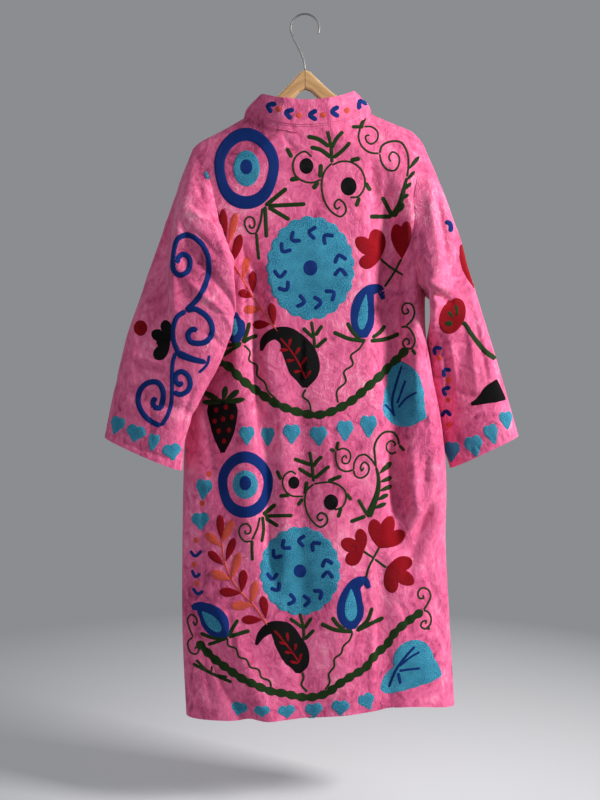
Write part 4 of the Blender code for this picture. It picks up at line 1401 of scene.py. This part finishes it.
LOWER_STEMS = [
    (4.6, (262.7, 515), (276, 504)),
    (4.0, (264, 516), (293, 515.5)),
    (4.2, (265, 518), (278.5, 526.5)),
    (3.6, (262.5, 516), (263.5, 530), (261.6, 542.5)),
    (2.4, (260, 517), (257, 529), (252, 540)),
    (3.4, (252, 540), (252, 550), (252.5, 561)),
    (2.0, (252, 541), (245.5, 541.5), (240.5, 537), (239, 530.5), (242, 525), (247.5, 524),
     (251, 528.5), (249, 533.5), (245, 533), (246, 530)),
    (3.8, (313.7, 482), (312, 466), (309.5, 451)),
    (4.4, (311.5, 465), (293.5, 458.7)),
    (4.2, (313.5, 467), (317, 461), (322.5, 456)),
    (4.4, (312.5, 477), (298, 468)),
    (4.2, (314.5, 478.5), (330, 465.5)),
    (2.1, (296.3, 474.5), (291.5, 471.4), (285, 475), (282.6, 482), (285, 490), (291, 495.4),
     (303.5, 496.4)),
    (4.2, (276.5, 470), (281.3, 480)),
    (4.4, (278.8, 496.2), (290, 495)),
    (4.4, (307, 481), (305, 494.5)),
    (4.2, (297.5, 506), (303, 498)),
    (2.2, (313.7, 484), (306.8, 490.5), (305, 499), (306.7, 511), (312.7, 521.4), (321, 527),
     (327.4, 521.5), (326, 515), (321, 512.8), (317.3, 517), (320, 520.5), (323.5, 518.5)),
    (2.2, (313.7, 484), (322.5, 482.5), (331, 482.3), (339.5, 485.5), (345.3, 491.5), (346, 498.5),
     (342, 507), (334.5, 510)),
    (4.4, (327.7, 481.5), (342, 475.7)),
    (4.2, (346, 493), (351.6, 500.5)),
    (4.2, (341.4, 507), (338, 518)),
    (4.2, (329.4, 449), (335.3, 451.5)),
    (3.8, (338.3, 441), (336.8, 450)),
    (2.2, (335.8, 451), (336.3, 461), (339.4, 468.4), (346, 471.4), (353.5, 469.9)),
    (2.0, (336.8, 450.5), (343.5, 448.5), (349.6, 451.8), (350.6, 457.5), (347.5, 463.3),
     (343, 462.8), (342.4, 458), (345.5, 455.6), (347, 458.7)),
    (2.2, (353.5, 470), (354.7, 462), (358.8, 456), (364.9, 454.6), (371, 459.2), (376, 466)),
    (2.0, (353.5, 470), (355.5, 475.8), (360, 478), (366, 475.5), (369, 470.4), (368.5, 465.3),
     (364.4, 462.2), (361, 465.5), (361.8, 471), (363.9, 467.3)),
    (2.5, (376, 467), (375, 457), (374.6, 446), (378.2, 437.8), (385.3, 432), (393.5, 432.7),
     (397.6, 438), (399, 445)),
    (3.6, (399, 445), (404.7, 451)),
    (2.1, (396.5, 452), (391.4, 453.6), (387, 450), (387, 444), (391.4, 440.8), (395.5, 444),
     (393.5, 446.4)),
    (4.0, (367.4, 515.3), (358, 499)),
    (4.4, (366, 516), (349.8, 522)),
    (2.6, (363, 551), (373.5, 558)),
    (2.6, (379.3, 547.5), (373.5, 558), (369, 567), (366, 578)),
    (2.6, (374.5, 559), (386.5, 567.7)),
    (4.6, (353, 631.5), (336, 630), (320.5, 623.5)),
    (4.6, (345, 630), (337, 624), (332, 616.5)),
    (4.4, (357, 630), (367, 621), (372.5, 607)),
    (4.6, (356, 631), (370, 624), (384, 617.3)),
    (2.2, (352.7, 632), (349.6, 640), (343, 647), (341.4, 653), (334.5, 659), (334.3, 666),
     (328.9, 674.3), (329.7, 682.4), (325, 690)),
    (4.2, (228, 636.5), (238.2, 619)),
    (4.6, (228, 637), (250, 630.5)),
    (4.0, (228, 637.5), (214, 638), (200, 633)),
    (3.8, (227, 638), (216, 642), (207.6, 644.7)),
    (2.2, (227.6, 638), (228, 645), (236, 648.8), (239.2, 657), (246.3, 659.5), (250.4, 667),
     (258.6, 669.7), (261.6, 677.3), (269.8, 681.4), (271.3, 687)),
    (3.4, (304, 641), (303.5, 628.4), (299.5, 612.5)),
    (4.0, (303, 628), (289.5, 618)),
    (4.0, (304, 629), (312, 617.3)),
    (4.0, (304.5, 639.6), (314.5, 629.5)),
    (2.4, (302.4, 672), (303.5, 678), (301.4, 684), (307.6, 692)),
    (2.2, (423.6, 610), (428, 603), (430.7, 596), (428, 589.6), (422, 588), (418, 592.7),
     (419.5, 598), (423.6, 598), (423, 594.7)),
    (2.2, (423.6, 610), (428, 612), (431, 617.5), (430.2, 624.3), (425, 628.9), (421, 626.3),
     (422.5, 621.7), (426, 620.7), (425.6, 624.3)),
    (3.4, (427, 626), (429.5, 630)),
    (2.0, (193.3, 637), (189, 627), (188, 618), (191.2, 614.6), (195.3, 617), (197, 622),
     (195, 625.3), (193, 621)),
    (2.0, (193.3, 637), (188.4, 641), (188, 647), (191.2, 652.9), (196.3, 653.9), (198.8, 650.3),
     (196.8, 646.7), (194.5, 649.3)),
    (3.6, (192.5, 663.6), (205.5, 670.2), (215.7, 675.3), (232, 682.4)),
    (3.2, (196, 659.5), (205.5, 669.7)),
    (3.2, (211.6, 665.6), (211.6, 672.2)),
    (3.2, (227.4, 677.3), (216.7, 675.3)),
]
LOWER_BARBS = [
    (6.2, (379, 474), (391.6, 462)),
    (5.2, (379.5, 482.5), (392, 477)),
    (5.2, (379, 491.5), (392, 485.5)),
    (5.2, (376.5, 500.5), (388.5, 494)),
    (5.0, (373, 509), (386.5, 503)),
]

# Branches of red and coral leaves

UPPER_BRANCH = {
    "red": [
        (8.2, (224.5, 246), (223, 209)),
        (9.4, (233, 262), (240.5, 234.5)),
        (8.2, (253, 293), (252.5, 271)),
        (8.6, (252, 297), (239, 291.5)),
        (8.6, (274, 325), (271, 303)),
        (9.0, (270.5, 324), (252.5, 325)),
    ],
    "coral": [
        (7.6, (229, 243), (236.5, 213)),
        (7.4, (243, 279), (247.5, 256.5)),
        (8.6, (260.5, 309.5), (243.5, 309.5)),
    ],
    "stem": [(227, 250), (232, 262), (239, 273), (251, 294), (260, 308), (269, 320), (278, 332)],
}
LOWER_BRANCH = {
    "red": [
        (7.8, (221, 539), (219.8, 514.8)),
        (8.0, (226, 561), (234.3, 538)),
        (8.4, (223.5, 565), (208.5, 551.5)),
        (9.0, (241.7, 592), (243.8, 569.7)),
        (9.2, (241, 593.2), (219.5, 591.6)),
        (8.6, (266, 618), (262.5, 596)),
        (9.2, (262, 619.7), (241.8, 619.7)),
    ],
    "coral": [
        (8.2, (221.5, 543.5), (232.8, 520)),
        (9.0, (221, 546), (205.8, 533.5)),
        (8.2, (231.5, 579), (239.5, 552.5)),
        (9.6, (230.5, 579.5), (211, 572.5)),
        (8.0, (251.5, 604), (256, 581)),
        (9.2, (253, 605), (231, 606)),
    ],
    "stem": [
        (221.8, 543), (223.4, 557), (230, 576.3), (241.2, 592.7), (252.4, 604), (260.6, 615),
        (267.5, 625.5),
    ],
}

# Outlines of the two shells, as the reach from the middle at some angles

UPPER_SHELL = [
    (0, 19), (40, 22), (68, 30), (95, 38), (112, 36), (140, 23), (180, 21), (215, 26),
    (250, 28), (280, 28), (305, 27), (318, 29), (335, 22),
]
LOWER_SHELL = [
    (0, 30), (22, 26), (57, 30), (74, 29.5), (95, 27), (118, 24), (147, 20), (177, 16.5),
    (199, 28), (216, 37), (226, 35.5), (245, 26), (270, 20.5), (305, 20.5), (335, 28), (347, 33),
]


def sew_branch(work, branch):
    work.stem("coral", 1.8, *branch["stem"])
    for colour in ("coral", "red"):
        sew_leaves(work, colour, branch[colour], 2)


def sew_upper_left(work):
    work.eye((246.4, 168.4), 32.5, 41.0, 10.8, (13.5, 18.3), (6.7, 8.3))
    work.medallion((310.4, 268), 44.2, 52.0, 21, 11)
    work.oval("black", (306.4, 166), 7.2, 8.2)
    sew_branch(work, UPPER_BRANCH)
    work.drop("blue", [(236, 343), (235, 331), (234, 318), (236, 312)], [8, 21, 17, 3])
    work.leaf("turquoise", 9.0, (235, 318), (233, 336), 2)
    work.drop(
        "black",
        [
            (261, 351), (265, 340), (274, 334), (285, 336), (295, 347), (302, 360), (305, 374),
            (305, 388),
        ],
        [3, 9, 12, 20, 30, 34, 29, 5],
    )
    work.stem("red", 2.4, (280, 338), (290, 350), (299, 364), (306, 379), level=2)
    for width, foot, tip in (
        (4.4, (288, 348), (291, 338)), (4.4, (294, 356), (300, 347)), (4.4, (300, 366), (307, 357)),
        (4.4, (289, 350), (280, 350)), (4.4, (295, 360), (286, 361)), (4.4, (302, 371), (293, 372)),
        (4.2, (306, 378), (311, 370)),
    ):
        work.leaf("red", width, foot, tip, 2)
    work.drop(
        "black",
        [(223, 399), (222.5, 409), (223, 421), (223, 435), (222.5, 453)],
        [24, 31, 28, 21, 4],
    )
    for seed in (
        (216.4, 410), (226, 407), (215, 421), (223.4, 419), (232, 417), (219, 431), (229, 430),
        (224.4, 441),
    ):
        work.oval("red", seed, 2.5, 3.0, 2)
    sew_leaves(
        work,
        "green",
        [
            (6.0, (223, 402), (203, 392)), (5.6, (222, 403), (202, 402)), (6.0, (223, 402),
             (226, 386)), (6.0, (224, 402), (239, 390)), (5.6, (224, 403), (245, 399)),
        ],
        2,
    )


def sew_upper_right(work):
    work.oval("black", (348.6, 186.3), 8.2, 9.4)
    work.stem("green", 7.6, (392.5, 217), (399.5, 205), (403.5, 191), (407, 177), taper=0.4)
    sew_leaves(work, "green", UPPER_BARBS)
    work.tulip((380, 258.6), (372, 249), [((375, 229), 18), ((356, 238), 16), ((359, 264), 15)])
    work.tulip((402, 258.6), (400, 245), [((396, 224), 15), ((407, 221), 13)])
    work.drop(
        "blue",
        [(364, 338), (363, 328), (362.5, 315), (365, 299), (371, 290), (379, 289), (383.5, 299.5)],
        [7, 21, 25, 20, 12, 9, 4],
    )
    work.leaf("turquoise", 11.0, (366, 294), (361, 330), 2, full=0.68)
    work.shape("turquoise", (405, 399), table_reach(UPPER_SHELL))
    for width, *points in (
        (3.6, (402, 366), (396, 384), (392, 402), (394, 417)), (3.4, (406, 380), (400, 396),
         (397, 404)),
        (3.2, (417, 392), (407, 398), (398, 408)), (3.4, (384, 404), (389, 409), (394, 415)),
    ):
        work.stem("blue", width, *points, level=2)


def sew_lower_left(work):
    work.eye((245.3, 484.6), 27.6, 33.6, 9.8, (12.9, 14.5), (6.3, 7.9))
    work.medallion((300, 571), 40.5, 44.5, 20, 11)
    work.oval("black", (293.8, 482.7), 5.8, 6.5)
    sew_branch(work, LOWER_BRANCH)
    work.drop(
        "blue",
        [(227, 637.5), (220, 629), (212, 618), (204, 610), (197, 606.5), (191.5, 608)],
        [6, 23, 26, 17, 9, 5],
    )
    work.leaf("turquoise", 13.0, (202, 611), (221, 631.5), 2, full=0.60)
    work.drop(
        "black",
        [
            (256, 645), (262, 634), (271, 628), (281, 632), (290, 645), (296, 656), (298.5, 665),
            (298, 673.5),
        ],
        [3, 9, 13, 24, 28, 28, 21, 5],
    )
    work.stem("red", 2.2, (274, 630.5), (284, 642), (292, 652), (299.4, 663), level=2)
    for width, foot, tip in (
        (4.0, (288, 642), (287, 632)), (4.0, (294.5, 651), (296, 643)), (4.0, (299, 662),
         (301.5, 653)),
        (4.0, (288, 644.5), (278.5, 642)), (4.0, (293.5, 653.5), (284, 651.5)), (4.0, (299, 663.5),
         (289, 661)),
        (3.8, (283, 640), (274, 630)),
    ):
        work.leaf("red", width, foot, tip, 2)
    for x, y in ((209, 474), (202.2, 503.4), (196.3, 540.3), (194.2, 564.6), (197, 583.5)):
        work.oval("coral", (x, y), 2.9, 3.1)
    for points in (
        ((190, 550.5), (195, 556), (202, 550.5)),
        ((191.5, 569.7), (196, 576.8), (200.6, 573)),
        ((192.4, 588), (198.4, 594), (203.5, 590.5)),
    ):
        work.stem("blue", 3.6, *points)


def sew_lower_right(work):
    work.oval("black", (331, 502.3), 7.4, 8.2)
    work.stem(
        "green", 8.4, (368, 517.5), (373, 505), (377.5, 492), (378.5, 478), (376, 466), taper=0.32
    )
    sew_leaves(work, "green", LOWER_BARBS)
    work.tulip((379.3, 548), (386, 537), [((373, 519), 15), ((391.5, 516), 15), ((405, 532), 15)])
    work.tulip(
        (363.5,
        551.5),
        (355,
        547),
        [
            ((359.5, 528.5), 12.5), ((341, 541), 15), ((346, 563), 15),
        ],
    )
    work.tulip(
        (387,
        567.5),
        (397,
        571),
        [
            ((412.5, 561), 15.5), ((414, 583.5), 15), ((393.5, 593), 15),
        ],
    )
    work.drop(
        "blue",
        [
            (352, 629.5), (350.7, 621), (350.3, 609), (351.5, 596), (356, 584.5), (364, 580.5),
            (369.5, 588.5),
        ],
        [8, 23, 28, 22, 13, 9, 4],
    )
    work.leaf("turquoise", 14.0, (351, 588.5), (350.8, 621.5), 2, full=0.68)
    work.shape("turquoise", (410, 668), table_reach(LOWER_SHELL))
    for width, *points in (
        (3.8, (388.6, 687.5), (396.5, 669), (406, 656), (415, 646)), (3.2, (399.6, 666), (409, 658),
         (420, 651.5)),
        (3.6, (398.6, 670.7), (408, 669.5), (420.5, 668.2)), (4.6, (398, 672), (400.6, 684.5)),
    ):
        work.stem("blue", width, *points, level=2)


GARLAND_WAVE = 0.26  # how deep the scallops are, as a share of the width
GARLANDS = [
    # width, scallops and points
    (7.6, 20, (212, 360), (228, 366), (240, 378), (257, 391), (275, 403), (298, 412), (317, 415),
     (345, 405), (370, 385), (386, 370), (408, 348)),
    (7.4, 26, (197, 641), (206, 651), (215.7, 660), (228, 669), (241, 678), (255.5, 685),
     (270, 691), (287, 694), (300, 697), (313, 697), (328, 692.5), (338.5, 684.5), (352.7, 675.5),
     (365, 668), (377, 653), (385.5, 646), (395.5, 632), (405.7, 623), (423, 610.5)),
]
HEARTS = [
    # centre, width, height and lean
    (246.8, 434, 15.2, 18.5, 0), (267.8, 435, 12.8, 18.5, 0), (291.6, 432.5, 17.5, 19.5, 0),
    (318.5, 434.5, 17.5, 19.5, 4), (345, 429, 16.4, 20.5, 0), (368.5, 424.5, 16.6, 22.0, 0),
    (239.2, 708, 16.0, 13.5, -14), (262, 711, 15.8, 11.0, 0), (286.6, 711, 17.0, 12.5, 8),
    (313.9, 709.5, 17.6, 14.0, 8), (340.4, 707, 18.0, 15.0, 0), (366.4, 700.5, 16.5, 16.5, 22),
    (204, 487.5, 16.0, 20.0, -8), (200.4, 520, 17.5, 17.5, 4),
]

sewn = Stitching("back", back, BACK)
sew_upper_left(sewn)
sew_upper_right(sewn)
sew_lower_left(sewn)
sew_lower_right(sewn)
sew_stems(sewn, "green", UPPER_STEMS + LOWER_STEMS)
for width, scallops, *points in GARLANDS:
    sewn.stem("green", width, *points, wave=GARLAND_WAVE, waves=scallops)
sew_hearts(sewn, HEARTS)
sewn.work()


# Embroidery on the collar: blue boomerangs with a coral dot between each two.
# It goes all the way round, and two rows of pink stitching hold the neck seam down.

# The places and angles of the marks, in pixels and degrees
COLLAR_MARKS = [
    (271.5, 107, 150), (290, 113.5, 165), (314, 115, 180), (336, 111.5, 180), (362, 104.5, 120),
]
COLLAR_DOTS = [(278.5, 109), (299, 115.4), (323, 115), (347, 110.5)]

sewn = Stitching("collar_back", collar, BACK)
for x, y, angle in COLLAR_MARKS:
    sewn.boomerang((x, y), 9.0, angle, level=1, spread=36.0)
for dot in COLLAR_DOTS:
    sewn.oval("coral", dot, 3.2, 3.2)
NECK_LINE = [
    (253, 110), (263, 119.5), (275, 125), (290, 128.3), (304, 129), (318, 128.3), (333, 126.3),
    (347, 123), (359, 117.5), (368, 111),
]
for rise in (2.4, 4.6):
    sewn.stem("pink", 0.9, *[(x, y - rise) for x, y in NECK_LINE])
sewn.work()

sewn = Stitching("collar_front", collar, FRONT)
for k, (x, y) in enumerate(((262, 122), (284, 134), (330, 134), (352, 122))):
    sewn.boomerang((x, y), 9.0, 180 if k < 2 else 0, level=1, spread=36.0)
for dot in ((273, 129), (296, 139), (318, 139), (341, 129)):
    sewn.oval("coral", dot, 3.2, 3.2)
sewn.work()


# Embroidery on the sleeves: a thick blue scroll and a dark flower on the left one,
# a ringed flower and a dark petal on the right one, and hearts round both cuffs.

SCROLL = [
    # from the upper node over the top of the left sleeve, and into its curl
    (6.0, (185.6, 311), (198, 298), (205.5, 284), (208.8, 269), (207, 254), (199.3, 241.5),
     (187, 235), (178, 238.5), (174.1, 248), (173, 260), (174.1, 271), (179, 275), (186, 272.8),
     (190, 264.5), (188, 256.5), (182.5, 254.4), (178, 258.3), (178, 264)),
    (6.2, (186, 311), (194, 309), (202.5, 313), (210, 321), (212, 332), (207, 341), (198, 343.5),
     (190, 341), (188, 335), (191, 330), (198, 329.5)),
    (5.6, (186, 311), (177, 317), (173.3, 327), (173.3, 340), (177, 350), (179, 355)),
    (4.6, (176, 352), (173, 361), (172, 375), (172, 390), (171, 404), (167.2, 416), (161, 426)),
    (5.8, (173.3, 391.5), (179.5, 394.5), (187, 391.4), (190.2, 384), (187, 374.8), (181, 371.5),
     (175.8, 375), (175.8, 381), (180, 385), (182, 381)),
    (6.0, (161, 426), (152, 422), (141.5, 411.3), (138, 400.6), (141.2, 388.5), (149, 382.5),
     (157.5, 382.5), (162.6, 390), (162.6, 400.6), (159.5, 408), (154.2, 406.7), (153.4, 400.6),
     (157, 397.8)),
    (3.2, (209.3, 355), (207.5, 363.5), (198.8, 373)),
]

sewn = Stitching("sleeve_left", sleeves[-1], BACK)
sew_stems(sewn, "blue", SCROLL)
sewn.stem("blue", 8.6, (177, 353), (192, 359), (206.5, 362.5), taper=0.6)
sew_leaves(
    sewn,
    "black",
    [
        (12.0, (170, 342), (164.5, 320)), (12.0, (170, 341), (151.5, 332)), (14.0, (170, 342),
         (155, 359)),
    ],
)
sewn.oval("black", (163, 341), 7.0, 8.0)
sewn.oval("red", (140.5, 328), 7.0, 8.0)
sew_leaves(sewn, "red", [(6.5, (198, 143), (222, 128.5))])
sew_leaves(sewn, "coral", [(4.4, (202.5, 162), (205.5, 154))])
sewn.oval("turquoise", (209, 173), 4.0, 6.5)
sew_leaves(sewn, "green", [(4.4, (186, 161), (189, 151))])
sew_hearts(
    sewn,
    [
        (117.5, 424, 14, 18, -20), (135.8, 432.5, 19.5, 17, -16), (153.6, 441, 10.5, 17.5, -14),
        (171.8, 451, 19, 16.5, 10),
    ],
)
sewn.work()

sewn = Stitching("sleeve_right", sleeves[1], BACK)
sewn.stem("blue", 5.4, (444.5, 222.3), (449.5, 223), (451, 227.5), (450, 232.5))
sewn.leaf("red", 9.0, (474, 288), (461, 244), bend=-0.04, full=0.55)
sewn.shape("red", (452.4, 316), oval_reach(12.5, 19), 1, -22)
sew_leaves(sewn, "green", [(4.6, (457.5, 317), (455.5, 304)), (5.0, (453.5, 318), (447.5, 311))], 2)
sewn.oval("green", (448.8, 323.4), 4.6, 3.2, 2)
sewn.stem(
    "green", 4.4, (458.5, 321.8), (464, 323.5), (471, 333.5), (478.5, 343.5), (485.5, 351.5),
    (496, 359), taper=1.35,
)
sewn.drop("black", [(471, 404.5), (480, 400.5), (490, 394.5), (502, 389)], [3, 9, 19, 24])
for x, y, angle in ((437.3, 350.5, 135), (446.4, 372.5, 135), (446.5, 391, 150), (446, 414.5, 95)):
    sewn.boomerang((x, y), 7.5, angle, 4.4, 1)
for x, y, size in ((439, 358, 2.9), (448.6, 380, 3.4), (448, 400, 2.7), (448.8, 424.8, 3.2)):
    sewn.oval("coral", (x, y), size, size)
sew_leaves(sewn, "green", [(4.4, (421, 136), (426, 144))])
sew_hearts(
    sewn,
    [
        (451.8, 450, 15.5, 20, -4), (473.6, 444.6, 18, 21, 14), (491.2, 432.5, 13.5, 20, 18),
        (506, 418.8, 13, 18, 8),
    ],
)
sewn.work()

for side, word, hearts, scroll in (
    (-1, "left", [(128, 430, 16, 17, -18), (148, 441, 16, 17, -16), (168, 451, 16, 17, -12)],
     (170, 360)),
    (1, "right", [(470, 446, 16, 18, 14), (490, 436, 15, 18, 16), (508, 422, 13, 17, 12)],
     (462, 350)),
):
    sewn = Stitching(f"sleeve_{word}_front", sleeves[side], FRONT)
    sew_hearts(sewn, hearts)
    x, y = scroll
    sewn.stem(
        "blue", 6.0, (x, y + 60), (x - 14 * side, y + 38), (x - 8 * side, y + 12),
        (x + 8 * side, y + 4), (x + 16 * side, y + 18), (x + 8 * side, y + 30), (x, y + 22),
    )
    sewn.work()


# Embroidery on the fronts: the same flowers as on the back, cut off at the opening.
# The photograph doesn't show the fronts, so where the flowers lie is a guess.

FRONT_STEP = 1.35  # the mesh is that much coarser than on the back
OPENING_PIXEL = 308
STEM_CLEAR, HEART_CLEAR, GARLAND_OVER = 6, 14, 14  # pixels from the opening

for side, word in ((1, "right"), (-1, "left")):
    sewn = Stitching(f"front_{word}", fronts[side], FRONT, FRONT_STEP)
    if side > 0:
        sew_upper_right(sewn)
        sew_lower_right(sewn)
    else:
        sew_upper_left(sewn)
        sew_lower_left(sewn)
    kept = []
    for stem in UPPER_STEMS + LOWER_STEMS:
        middle = np.mean([point[0] for point in stem[1:]])
        if (middle - OPENING_PIXEL) * side > STEM_CLEAR:
            kept.append(stem)
    sew_stems(sewn, "green", kept)
    for width, scallops, *points in GARLANDS:
        half = [(x, y) for x, y in points if (x - OPENING_PIXEL) * side > -GARLAND_OVER]
        share = len(half) / len(points)
        sewn.stem("green", width, *half, wave=GARLAND_WAVE, waves=round(scallops * share))
    hearts = [heart for heart in HEARTS if (heart[0] - OPENING_PIXEL) * side > HEART_CLEAR]
    sew_hearts(sewn, hearts)
    sewn.work()


# Studio: a pale floor well below the hem in an even pale room, and three lamps. The key is
# small, to the right, and grazes the folds. A weaker one stands to the left of the camera,
# and another lights the fronts from behind.

FLOOR_Z, FLOOR_RADIUS = -1.42, 14.0
FLOOR_FADE = (0.2, 1.5)  # metres from the middle over which the lit floor turns into a painted glow of the room's colour
ROOM = (0.86, 0.89, 0.93, 1.0)
ROOM_LIGHT = 0.30

bpy.ops.mesh.primitive_circle_add(vertices=96, radius=FLOOR_RADIUS, fill_type="NGON")
floor = bpy.context.object
floor.name = "floor"
floor.location = (0.0, 0.0, FLOOR_Z)
paint = Finish("pale_floor", Roughness=0.9)
paint.shader.inputs["Base Color"].default_value = (0.62, 0.63, 0.66, 1.0)
# Away from the jacket the floor stops being lit paint and glows with the room's colour and light
# instead, a painted glow which softens the horizon
away = paint.node("ShaderNodeVectorMath", {"operation": "LENGTH"}, {0: paint.place()}, 1)
glow = paint.node("ShaderNodeEmission", {}, {"Color": ROOM, "Strength": ROOM_LIGHT})
mixed = paint.tree.nodes.new("ShaderNodeMixShader")
paint.tree.links.new(paint.range(away, *FLOOR_FADE).socket, mixed.inputs[0])
paint.tree.links.new(paint.shader.outputs[0], mixed.inputs[1])
paint.tree.links.new(glow.socket, mixed.inputs[2])
paint.tree.links.new(mixed.outputs[0], paint.tree.nodes["Material Output"].inputs["Surface"])
floor.data.materials.append(paint.material)

LAMPS = (
    # name, place, size, power in watts, colour
    ("key", (2.4, -1.0, 0.4), 0.6, 118.0, (1.0, 0.97, 0.94)),
    ("fill", (-1.6, -2.6, 0.2), 1.8, 13.0, (0.93, 0.96, 1.0)),
    ("front_wash", (0.6, 2.4, 0.4), 2.4, 30.0, (1.0, 0.98, 0.96)),
)
CENTRE = Vector((0.0, 0.0, -0.65))
for name, place, size, power, colour in LAMPS:
    bpy.ops.object.light_add(type="AREA", location=place)
    lamp = bpy.context.object
    lamp.name = name
    lamp.rotation_euler = (CENTRE - Vector(place)).to_track_quat("-Z", "Y").to_euler()
    lamp.data.size = size
    lamp.data.energy = power
    lamp.data.color = colour

world = bpy.data.worlds.new("pale_room")
world.use_nodes = True
world.node_tree.nodes["Background"].inputs["Color"].default_value = ROOM
world.node_tree.nodes["Background"].inputs["Strength"].default_value = ROOM_LIGHT
bpy.context.scene.world = world
